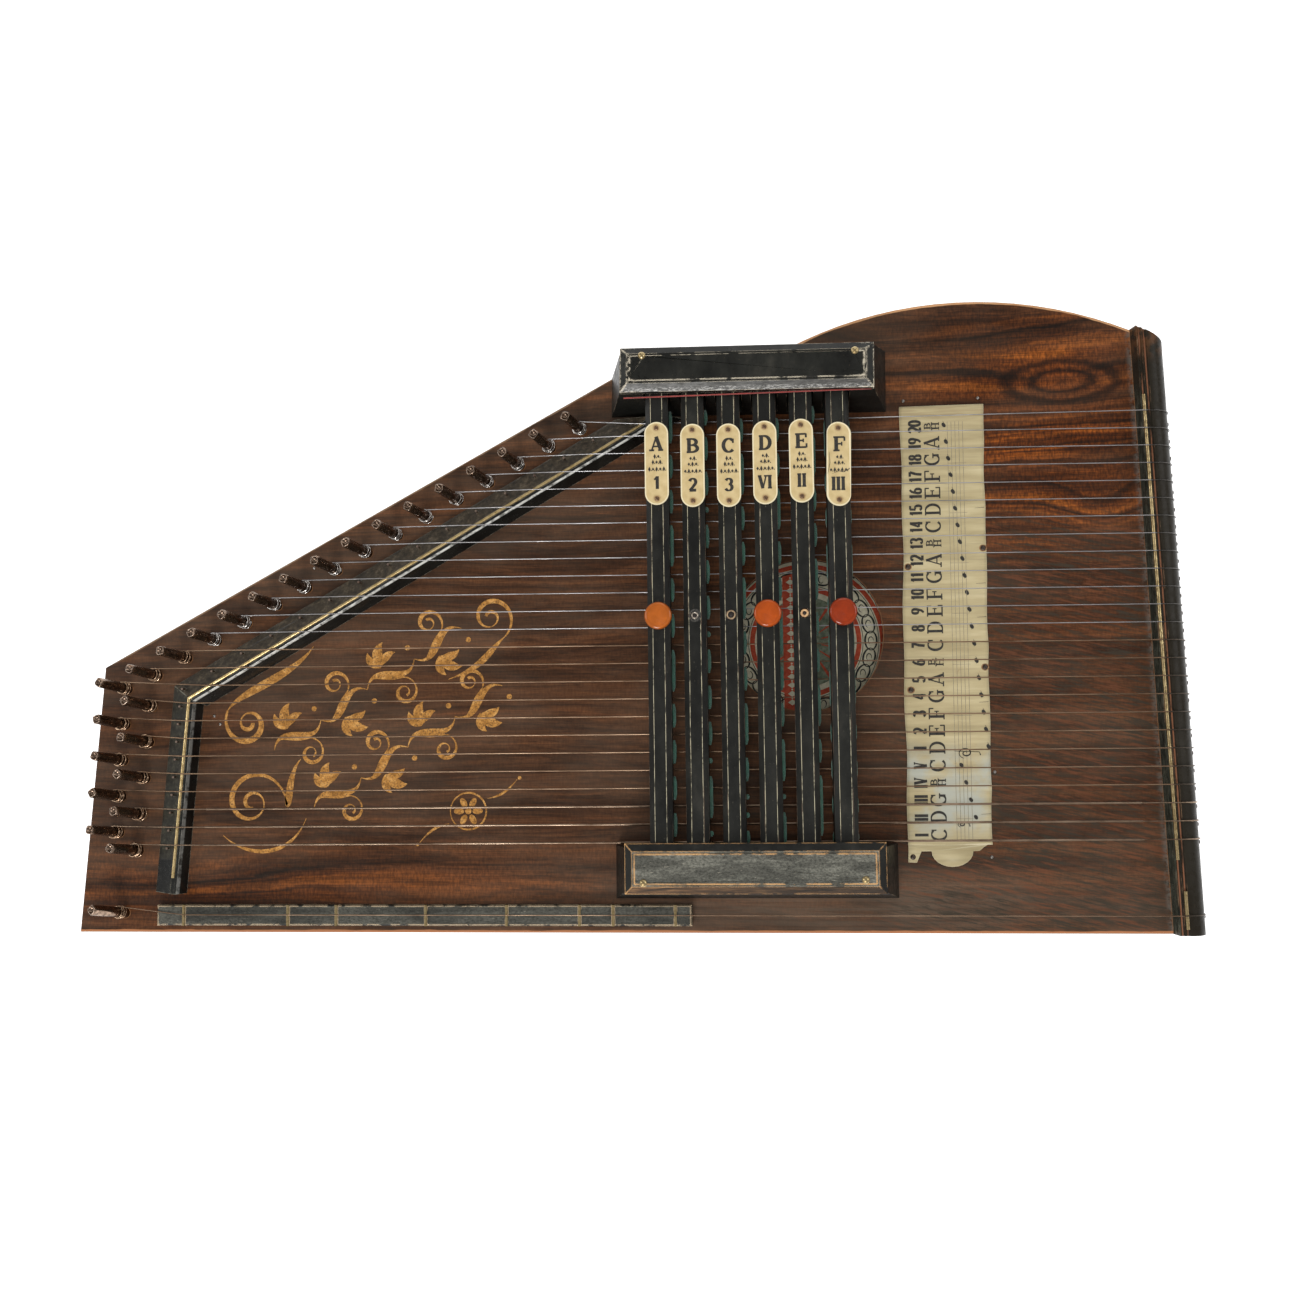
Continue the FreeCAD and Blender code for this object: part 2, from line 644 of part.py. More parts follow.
def make_bar_felts(number):
    middle = bar_x(number) + FELT_OFFSET
    across = (middle - FELT_WIDTH / 2, middle + FELT_WIDTH / 2)
    heights = (BOARD_TOP + FELT_BOTTOM, BOARD_TOP + BAR_BOTTOM)
    return [leaned(block(across, span, heights), number) for span in felt_spans(number)]


def label_pin_ys(number):
    reach = LABEL_LENGTH / 2 - LABEL_PIN_INSET
    return (LABEL_YS[number - 1] - reach, LABEL_YS[number - 1] + reach)


def make_label(number):
    """Round-ended plate and its two pins."""
    x = bar_x(number)
    half_run = (LABEL_LENGTH - LABEL_WIDTH) / 2
    y = LABEL_YS[number - 1]
    plate = block((x - LABEL_WIDTH / 2, x + LABEL_WIDTH / 2), (y - half_run, y + half_run),
                  (BOARD_TOP + BAR_TOP, BOARD_TOP + BAR_TOP + LABEL_THICKNESS))
    ends = [Part.makeCylinder(LABEL_WIDTH / 2, LABEL_THICKNESS, above(x, end, BAR_TOP))
            for end in (y - half_run, y + half_run)]
    plate = plate.fuse(ends).removeSplitter()
    pins = []
    for pin_y in label_pin_ys(number):
        hole = Part.makeCylinder(LABEL_PIN_RADIUS + FIT, 5, above(x, pin_y, BAR_TOP - 1))
        plate = plate.cut(hole)
        shank = Part.makeCylinder(LABEL_PIN_RADIUS, 3.9, above(x, pin_y, BAR_TOP - 3))
        head_foot = above(x, pin_y, BAR_TOP + LABEL_THICKNESS + 0.05)
        head = Part.makeCylinder(LABEL_PIN_RADIUS * 1.8, 0.3, head_foot)
        pins.append(shank.fuse(head))
    return [leaned(solid, number) for solid in [plate] + pins]


def make_button(number):
    """Domed finger button: cap and stem turned in one piece."""
    x = bar_x(number)
    foot = above(x, BUTTON_Y, BAR_TOP)
    stem = Part.makeCylinder(BUTTON_STEM, BUTTON_HOLE_DEPTH + 1.5, foot - UP * (BUTTON_HOLE_DEPTH - 0.5))
    cap = Part.makeCylinder(BUTTON_RADIUS, 2.2, foot + UP * 1.4)
    dome_radius = 16.0
    dome_drop = dome_radius - math.sqrt(dome_radius ** 2 - BUTTON_RADIUS ** 2)
    ball = Part.makeSphere(dome_radius, foot + UP * (3.6 + dome_drop - dome_radius))
    dome = Part.makeCylinder(BUTTON_RADIUS, dome_drop + 1, foot + UP * 3.5).common(ball)
    button = cap.fuse([dome, stem]).removeSplitter()
    return leaned(button, number)


def make_springs(number):
    """Compression coil under each end of the bar."""
    springs = []
    height = BAR_BOTTOM - SPRING_FLOOR - 2 * SPRING_WIRE_RADIUS - 0.6
    for y in SPRING_YS:
        helix = Part.makeHelix(height / SPRING_TURNS, height, SPRING_COIL_RADIUS)
        circle = Part.Circle(Vector(SPRING_COIL_RADIUS, 0, 0), Vector(0, 1, 0), SPRING_WIRE_RADIUS)
        coil = Part.Wire(helix).makePipeShell([Part.Wire(circle.toShape())], True, True)
        coil.translate(above(bar_x(number), y, SPRING_FLOOR + SPRING_WIRE_RADIUS))
        springs.append(coil)
    return springs


# ---------------------------------------------------------------- bar holders
def turned(shape, upper):
    """The upper holder sits slightly out of square to the bars."""
    if not upper:
        return shape
    shape = shape.copy()
    middle = above(sum(HOLDER_X) / 2, sum(UPPER_HOLDER_Y) / 2)
    shape.rotate(middle, UP, UPPER_HOLDER_TURN)
    return shape


def slot_cutters(upper):
    cutters = []
    for number in range(1, BAR_COUNT + 1):
        x = bar_x(number)
        ys = (UPPER_HOLDER_Y[0] - 10, UPPER_SLOT_END) if upper else (LOWER_SLOT_END, LOWER_HOLDER_Y[1] + 10)
        heights = (BOARD_TOP + SLOT_FLOOR, BOARD_TOP + 40)
        cutters.append(block((x - SLOT_WIDTH / 2, x + SLOT_WIDTH / 2), ys, heights))
    return cutters


def nail_places(upper):
    return UPPER_NAILS if upper else LOWER_NAILS


def nail_cutters(upper):
    return [Part.makeCylinder(NAIL_RADIUS + FIT, 40, above(x, y, 15)) for x, y in nail_places(upper)]


def make_holder(upper):
    foot_y = UPPER_HOLDER_Y if upper else LOWER_HOLDER_Y
    top_y = UPPER_HOLDER_TOP_Y if upper else LOWER_HOLDER_TOP_Y
    lower = rectangle(HOLDER_X, foot_y, BOARD_TOP)
    top = rectangle(inset(HOLDER_X, HOLDER_SIDE_SLOPE), top_y, BOARD_TOP + HOLDER_TOP)
    body = turned(loft_between(lower, top), upper).common(outline_slab(BOARD_TOP, BOARD_TOP + HOLDER_TOP))
    return body.cut(slot_cutters(upper) + [turned(cutter, upper) for cutter in nail_cutters(upper)])


def make_stop_felt(upper):
    ys = inset(UPPER_COVER_Y if upper else (LOWER_COVER_Y[0], LOWER_HOLDER_Y[1] + 1), 0.5)
    strip = block(inset(COVER_X, 0.6), ys, (BOARD_TOP + HOLDER_TOP, BOARD_TOP + HOLDER_TOP + STOP_FELT))
    return turned(strip.cut(nail_cutters(upper)), upper)


def make_cover(upper):
    """Nailed cover with a bevelled edge and a slightly raised panel."""
    ys = UPPER_COVER_Y if upper else LOWER_COVER_Y
    bottom = BOARD_TOP + HOLDER_TOP + STOP_FELT
    side_top = bottom + COVER_SIDE
    bevel_top = side_top + COVER_BEVEL_RISE
    base = block(COVER_X, ys, (bottom, side_top))
    bevel = loft_between(rectangle(COVER_X, ys, side_top),
                         rectangle(inset(COVER_X, COVER_BEVEL), inset(ys, COVER_BEVEL), bevel_top))
    panel_x = inset(COVER_X, COVER_BEVEL + 1.2)
    panel = block(panel_x, inset(ys, COVER_BEVEL + 1.2), (bevel_top - 0.5, bevel_top + COVER_PANEL_STEP))
    cover = base.fuse([bevel, panel]).removeSplitter()
    return turned(cover.cut(nail_cutters(upper)), upper)


def make_cover_nail(x, y, upper):
    panel_top = HOLDER_TOP + STOP_FELT + COVER_SIDE + COVER_BEVEL_RISE + COVER_PANEL_STEP
    shank = Part.makeCylinder(NAIL_RADIUS, panel_top - 16, above(x, y, 16))
    ball = Part.makeSphere(NAIL_HEAD_RADIUS * 1.2, above(x, y, panel_top - NAIL_HEAD_RADIUS * 0.6))
    head = ball.common(Part.makeCylinder(NAIL_HEAD_RADIUS * 1.1, 5, above(x, y, panel_top + 0.02)))
    neck = Part.makeCylinder(NAIL_RADIUS, 0.1, above(x, y, panel_top - 0.05))
    return turned(shank.fuse([head, neck]), upper)


# ---------------------------------------------------------------- build
def build_soundbox():
    left_places = [pin_place(string) for string in range(LEFT_PIN_COUNT)]
    diagonal_places = [pin_place(string) for string in range(LEFT_PIN_COUNT, STRING_COUNT)]
    cutters = [pin_cutter(plan, PIN_LEAN) for plan in left_places + diagonal_places]
    cutters.append(pin_cutter(MELODY_PIN, MELODY_PIN_LEAN))
    hitch_ys = [MELODY_Y] + [TAIL_FIRST_Y + TAIL_SPACING * string for string in range(STRING_COUNT)]
    hitch_pins = [hitch_pin(y - 2.4) for y in hitch_ys]
    tail = make_tail_moulding()
    slab = outline_slab(RAIL_BOTTOM, RAIL_TOP)
    front_rail, bout_rail = rails()
    save("back_board", [outline_slab(FOOT_HEIGHT, RAIL_BOTTOM)])
    save("pin_block", [slab.common(pin_block_region()).cut(cutters)])
    save("hitch_block", [slab.common(hitch_block_region()).cut(hitch_pins)])
    save("front_rail", [front_rail])
    save("bout_rail", [bout_rail])
    save("soundboard_braces", make_braces())
    save("soundboard", [make_soundboard(cutters)])
    save("tail_moulding", [tail])
    save("hitch_pins", hitch_pins)
    save("feet", [make_foot(x, y) for x, y in FOOT_PLACES])
    rosette = Part.makeCylinder(ROSETTE_RADIUS, PAPER, place(*ROSETTE_CENTRE, RAIL_BOTTOM))
    save("soundhole_label", [rosette])
    save("tuning_pins_left", [make_pin(plan, PIN_LEAN) for plan in left_places])
    save("tuning_pins_diagonal", [make_pin(plan, PIN_LEAN) for plan in diagonal_places])
    save("melody_tuning_pin", [make_pin(MELODY_PIN, MELODY_PIN_LEAN)])


def build_stringing():
    left_nut, diagonal_nut = make_nuts()
    nails = [guide_nail(string) for string in range(STRING_COUNT - 1)]
    save("left_nut", [left_nut.cut(nails)])
    save("diagonal_nut", [diagonal_nut.cut(nails)])
    save("guide_nails", nails)
    save("nut_wire", [make_nut_wire()])
    save("tail_wires", [tail_rod(TAIL_WIRE_INSET, TAIL_WIRE_YS, TAIL_TOP, WIRE_RADIUS),
                        tail_rod(MELODY_WIRE_INSET, MELODY_WIRE_YS, TAIL_TOP, WIRE_RADIUS)])
    strings = [make_string(string) for string in range(STRING_COUNT)]
    plain_start = WOUND_COUNT + BRONZE_COUNT
    save("strings_wound", strings[:WOUND_COUNT])
    save("strings_bronze", strings[WOUND_COUNT:plain_start])
    save("strings_steel", strings[plain_start:] + [make_melody_string()])
    frets = [make_fret(semitones) for semitones in FRET_SEMITONES]
    save("frets", frets)
    save("fretboard", [make_fretboard(frets)])
    save("note_card", [make_note_card()])
    save("card_tacks", [make_tack(x, y) for x, y in TACK_PLACES])


def build_chord_bars():
    for number in range(1, BAR_COUNT + 1):
        save("chord_bar_%d" % number, [make_bar(number)])
        save("bar_felts_%d" % number, make_bar_felts(number))
        save("chord_label_%d" % number, make_label(number))
        save("bar_springs_%d" % number, make_springs(number))
    for number in BUTTON_BARS:
        save("button_%d" % number, [make_button(number)])


def build_holders():
    nails = []
    for upper, name in ((True, "upper"), (False, "lower")):
        save(name + "_bar_holder", [make_holder(upper)])
        save(name + "_holder_cover", [make_cover(upper)])
        nails += [make_cover_nail(x, y, upper) for x, y in nail_places(upper)]
    save("stop_felts", [make_stop_felt(True), make_stop_felt(False)])
    save("cover_nails", nails)


os.makedirs("parts", exist_ok=True)
build_soundbox()
build_stringing()
build_chord_bars()
build_holders()
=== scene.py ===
import math
import random
import bpy
from mathutils import Matrix, Vector


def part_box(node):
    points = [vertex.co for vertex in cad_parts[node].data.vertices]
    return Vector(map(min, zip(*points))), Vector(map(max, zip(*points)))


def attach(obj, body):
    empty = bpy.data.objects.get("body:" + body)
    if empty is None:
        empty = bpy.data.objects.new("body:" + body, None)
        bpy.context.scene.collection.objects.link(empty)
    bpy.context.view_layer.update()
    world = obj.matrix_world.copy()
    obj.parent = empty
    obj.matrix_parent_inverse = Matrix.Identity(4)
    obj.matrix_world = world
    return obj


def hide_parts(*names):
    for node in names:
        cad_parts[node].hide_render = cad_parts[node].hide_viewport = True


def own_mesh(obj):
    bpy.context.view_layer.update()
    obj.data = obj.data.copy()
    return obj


# Looks of the chorded zither. Lengths are in millimetres and are turned into metres by plan(), which
# measures from the soundbox's front-left corner and from the soundboard's top face.

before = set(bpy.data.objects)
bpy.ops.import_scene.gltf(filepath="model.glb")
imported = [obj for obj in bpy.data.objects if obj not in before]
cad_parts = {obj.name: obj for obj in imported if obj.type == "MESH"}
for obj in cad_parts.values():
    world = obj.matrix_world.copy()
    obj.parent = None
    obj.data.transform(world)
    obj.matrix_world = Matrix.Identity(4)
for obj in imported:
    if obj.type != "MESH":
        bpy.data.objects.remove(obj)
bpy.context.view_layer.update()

MM = 0.001
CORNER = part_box("back_board")[0]
BOARD_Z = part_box("soundboard")[1].z
ORIGIN_X, ORIGIN_Y, BOARD_TOP = CORNER.x / MM, CORNER.y / MM, BOARD_Z / MM
FRONT_LENGTH = 537.4
SIDE_LEAN = -0.02894
LEFT_CORNER = (10.0, 131.0)
DIAGONAL_ANGLE = 28.07
ARCH_CENTRE, ARCH_RADIUS = (436.5, 111.3), 188.0
KNOT_X, KNOT_Y = 482.5, 258.5
BARS = range(1, 7)
ROOT = "soundbox"

# ---- strings, as the part has them ----
STRINGS = 25
WOUND, BRONZE = 3, 9
STRING_LIFT = 9.0
RADII = {"wound": 0.6, "bronze": 0.3, "steel": 0.22}
NUT_X, NUT_FIRST_Y, NUT_SPACING = 60.0, 42.9, 8.64
TAIL_FIRST_Y, TAIL_SPACING = 43.3, 8.233
TOP_STRING_NUT_Y = 243.2
NUT_START, NUT_CORNER, NUT_END = (50.6, 19.2), (57.8, 114.6), (300.0, 252.6)
NUT_ARRIS = 2.35
TAIL_WIRE_INSET, MELODY_WIRE_INSET = 12.1, 9.8
TAIL_TOP, TAIL_ROUND = 7.9, 9.0
HITCH_DROP, HITCH_RADIUS = 12.0, 0.9
MELODY_Y, MELODY_LIFT, FRET_ZERO_X = 9.1, 6.1, 55.8

# ---- tuning pins ----
PIN_RADIUS = 2.5
PIN_COIL_HEIGHT = 4.0
PIN_LEAN, MELODY_PIN_LEAN, PIN_AZIMUTH = 15.0, 22.0, 155.0
MELODY_PIN = (21.5, 10.2)

# ---- chord bars ----
BAR_TOP = 26.0
BAR_PITCH = 16.8
TIPPED_BAR, TIP_ANGLE = 6, 4.0
FELT_HALF_WIDTH, FELT_BOTTOM, FELT_TOP = 5.9, 13.5, 16.98
LABEL_LENGTH, LABEL_WIDTH, LABEL_PIN_INSET = 39.3, 11.2, 2.9
BUTTON_RADIUS = 6.4
CHORD_MARKS = (("A", "1"), ("B", "2"), ("C", "3"), ("D", "VI"), ("E", "II"), ("F", "III"))


def plan(x, y, lift=0.0):
    """Place in metres of a point on the plan, at a height above the soundboard."""
    return Vector((CORNER.x + x * MM, CORNER.y + y * MM, BOARD_Z + lift * MM))


def middle(node):
    """Plan x and y of the middle of a CAD node, in millimetres from the front-left corner."""
    low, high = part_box(node)
    centre = (low + high) / 2
    return (centre.x - CORNER.x) / MM, (centre.y - CORNER.y) / MM


def shaded(colour, factor):
    """A colour made darker or lighter by a factor."""
    return tuple(channel * factor for channel in colour)


def polar(reach, angle):
    """Flat place at a reach and an angle in radians from the middle."""
    return Vector((reach * math.cos(angle), reach * math.sin(angle)))


# ---------------------------------------------------------------- material nodes
class Signal:
    """The output of a material node. Sums, differences and products of signals are math nodes."""

    def __init__(self, paint, socket):
        self.paint = paint
        self.socket = socket

    def __add__(self, other):
        return self.paint.math("ADD", self, other)

    def __sub__(self, other):
        return self.paint.math("SUBTRACT", self, other)

    def __rsub__(self, other):
        return self.paint.math("SUBTRACT", other, self)

    def __mul__(self, other):
        return self.paint.math("MULTIPLY", self, other)

    def __abs__(self):
        return self.paint.math("ABSOLUTE", self)


class Paint:
    """One procedural material: short names for the nodes it is wired from."""

    def __init__(self, name, **settings):
        self.material = bpy.data.materials.new(name)
        self.material.use_nodes = True
        self.tree = self.material.node_tree
        self.shader = self.tree.nodes["Principled BSDF"]
        for socket, value in settings.items():
            self.set(socket.replace("_", " "), value)
        millimetres = self.node("ShaderNodeVectorMath", operation="SCALE")
        self.link(millimetres.inputs[0], self.node("ShaderNodeTexCoord").outputs["Object"])
        millimetres.inputs["Scale"].default_value = 1 / MM
        self.place = millimetres.outputs[0]
        split = self.node("ShaderNodeSeparateXYZ")
        self.link(split.inputs[0], self.place)
        self.x, self.y, self.z = (Signal(self, socket) for socket in split.outputs)

    def node(self, kind, **settings):
        """A new node of a kind, with its settings."""
        made = self.tree.nodes.new(kind)
        for key, value in settings.items():
            setattr(made, key, value)
        return made

    def link(self, socket, value):
        """Gives an input a signal, a node's output or a plain value."""
        value = value.socket if isinstance(value, Signal) else value
        if isinstance(value, bpy.types.NodeSocket):
            self.tree.links.new(value, socket)
        else:
            socket.default_value = value

    def set(self, socket, value):
        """Feeds an input of the shader."""
        self.link(self.shader.inputs[socket], value)

    def roughen(self, value, smoothest, roughest):
        """Roughness that wanders between two values with a noise, which spreads over 0.3 to 0.7."""
        self.set("Roughness", self.between(value, 0.3, 0.7, smoothest, roughest))

    def math(self, operation, *values):
        """A math node."""
        made = self.node("ShaderNodeMath", operation=operation)
        for socket, value in zip(made.inputs, values):
            self.link(socket, value)
        return Signal(self, made.outputs[0])

    def between(self, value, low, high, to_low=0.0, to_high=1.0):
        """Smooth step of a value from one range to another."""
        made = self.node("ShaderNodeMapRange", interpolation_type="SMOOTHSTEP")
        for socket, item in zip(("Value", "From Min", "From Max", "To Min", "To Max"),
                                (value, low, high, to_low, to_high)):
            self.link(made.inputs[socket], item)
        return Signal(self, made.outputs[0])

    def least(self, a, b):
        """The smaller of two values."""
        return self.math("MINIMUM", a, b)

    def greatest(self, a, b):
        """The larger of two values."""
        return self.math("MAXIMUM", a, b)

    def distance(self, x, y):
        """Length of a flat offset."""
        return self.math("SQRT", x * x + y * y)

    def stretched(self, scale, place=None):
        """The place, or another one, scaled along each axis."""
        made = self.node("ShaderNodeMapping")
        self.link(made.inputs["Vector"], place or self.place)
        made.inputs["Scale"].default_value = scale
        return made.outputs[0]

    def turned(self, angle):
        """The place turned about the vertical by an angle in degrees."""
        made = self.node("ShaderNodeMapping")
        self.link(made.inputs["Vector"], self.place)
        made.inputs["Rotation"].default_value = (0, 0, math.radians(angle))
        return made.outputs[0]

    def noise(self, scale, detail=2.0, roughness=0.5, distortion=0.0, place=None):
        """Noise whose features are 1/scale millimetres across; scale is a number or one for each axis."""
        scale = scale if isinstance(scale, tuple) else (scale, scale, scale)
        made = self.node("ShaderNodeTexNoise")
        self.link(made.inputs["Vector"], self.stretched(scale, place))
        for socket, value in (("Scale", 1.0), ("Detail", detail), ("Roughness", roughness),
                              ("Distortion", distortion)):
            made.inputs[socket].default_value = value
        return Signal(self, made.outputs["Fac"])

    def noise_along(self, value, scale, detail=2.0):
        """Noise in bands that follow the contours of a value."""
        made = self.node("ShaderNodeTexNoise", noise_dimensions="1D")
        self.link(made.inputs["W"], value)
        made.inputs["Scale"].default_value = scale
        made.inputs["Detail"].default_value = detail
        return Signal(self, made.outputs["Fac"])

    def specks(self, scale, size):
        """Scattered dots: 1 inside a dot, 0 outside."""
        made = self.node("ShaderNodeTexVoronoi")
        self.link(made.inputs["Vector"], self.stretched((scale, scale, scale)))
        made.inputs["Scale"].default_value = 1.0
        return self.between(made.outputs["Distance"], size * scale, size * scale * 0.5)

    def ramp(self, value, *stops):
        """Colours at stops along a value."""
        made = self.node("ShaderNodeValToRGB")
        elements = made.color_ramp.elements
        while len(elements) < len(stops):
            elements.new(0.5)
        for element, (position, colour) in zip(elements, stops):
            element.position = position
            element.color = (*colour, 1.0)
        self.link(made.inputs["Fac"], value)
        return Signal(self, made.outputs["Color"])

    def mix(self, share, a, b):
        """Colour a, with a share of colour b laid over it."""
        made = self.node("ShaderNodeMix", data_type="RGBA")
        sockets = [s for s in made.inputs if s.enabled]
        for socket, value in zip(sockets, (share, a, b)):
            self.link(socket, (*value, 1.0) if isinstance(value, tuple) else value)
        return [s for s in made.outputs if s.enabled][0]

    def edges(self, radius, low=0.004, high=0.05):
        """1 where a sharp edge passes within a radius in millimetres."""
        bevel = self.node("ShaderNodeBevel", samples=6)
        bevel.inputs["Radius"].default_value = radius * MM
        dot = self.node("ShaderNodeVectorMath", operation="DOT_PRODUCT")
        self.link(dot.inputs[0], bevel.outputs[0])
        self.link(dot.inputs[1], self.node("ShaderNodeNewGeometry").outputs["Normal"])
        return self.between(1.0 - Signal(self, dot.outputs["Value"]), low, high)

    def facing(self, x, y, z, low=0.1, high=0.3):
        """1 on faces that look along a direction."""
        dot = self.node("ShaderNodeVectorMath", operation="DOT_PRODUCT")
        self.link(dot.inputs[0], self.node("ShaderNodeNewGeometry").outputs["Normal"])
        dot.inputs[1].default_value = (x, y, z)
        return self.between(dot.outputs["Value"], low, high)

    def bump(self, height, distance, strength):
        """Fine relief, with its depth in millimetres."""
        made = self.node("ShaderNodeBump")
        made.inputs["Strength"].default_value = strength
        made.inputs["Distance"].default_value = distance * MM
        self.link(made.inputs["Height"], height)
        self.set("Normal", made.outputs[0])


def hill(paint, x, y, wide, tall, height):
    """A rounded swell in the wood's growth rings around a plan place; the figure closes round it."""
    across = (paint.x - (x + ORIGIN_X)) * (1 / wide)
    along = (paint.y - (y + ORIGIN_Y)) * (1 / tall)
    square = across * across + along * along
    return paint.math("POWER", math.e, square * -1.0) * height


def edge_bands(p, colour):
    """Rubbed edges of the soundboard: reddish along the front, pale round the arch, dull up the slope."""
    x = p.x - ORIGIN_X
    y = p.y - ORIGIN_Y
    uneven = (p.noise((0.06, 0.06, 0.2), 3, 0.6) - 0.5) * 1.4
    upward = p.facing(0, 0, 1, 0.5, 0.9)
    front = p.between(y + uneven, 1.5, 1.0) * (upward * 0.7 + 0.15)
    colour = p.mix(front, colour, (0.40, 0.165, 0.070))
    out_x = x - ARCH_CENTRE[0]
    out_y = y - ARCH_CENTRE[1]
    reach = p.distance(out_x, out_y)
    arch = p.between(reach + uneven, ARCH_RADIUS - 1.5, ARCH_RADIUS - 1.0)
    arch = arch * p.between(x, 305, 312) * p.between(y, 236, 244)
    colour = p.mix(arch, colour, (0.50, 0.27, 0.13))
    slope = math.radians(DIAGONAL_ANGLE)
    inside = (x - LEFT_CORNER[0]) * math.sin(slope) - (y - LEFT_CORNER[1]) * math.cos(slope)
    edge = p.between(inside + uneven, 1.1, 0.7) * p.between(y, 131, 135)
    return p.mix(edge * p.between(x, 300, 290), colour, (0.20, 0.125, 0.075))


def eye_shade(p):
    """Light and dark rings of the flattened knot in the bout, as a factor on the wood's colour."""
    across = (p.x - (ORIGIN_X + KNOT_X)) * (1 / 27.0)
    along = (p.y - (ORIGIN_Y + KNOT_Y)) * (1 / 10.0)
    reach = p.distance(across, along)
    uneven = (p.noise((0.06, 0.20, 0.2), 4, 0.65) - 0.5) * 0.42
    greys = ((0.0, 0.30), (0.09, 0.60), (0.19, 0.72), (0.25, 0.36), (0.29, 0.12), (0.33, 0.13), (0.39, 0.46),
             (0.47, 0.60), (0.535, 0.24), (0.575, 0.13), (0.635, 0.17), (0.72, 0.56), (0.85, 0.625))
    shade = p.ramp((reach + uneven) * 0.625, *((place, (grey,) * 3) for place, grey in greys))
    return shade * 1.6


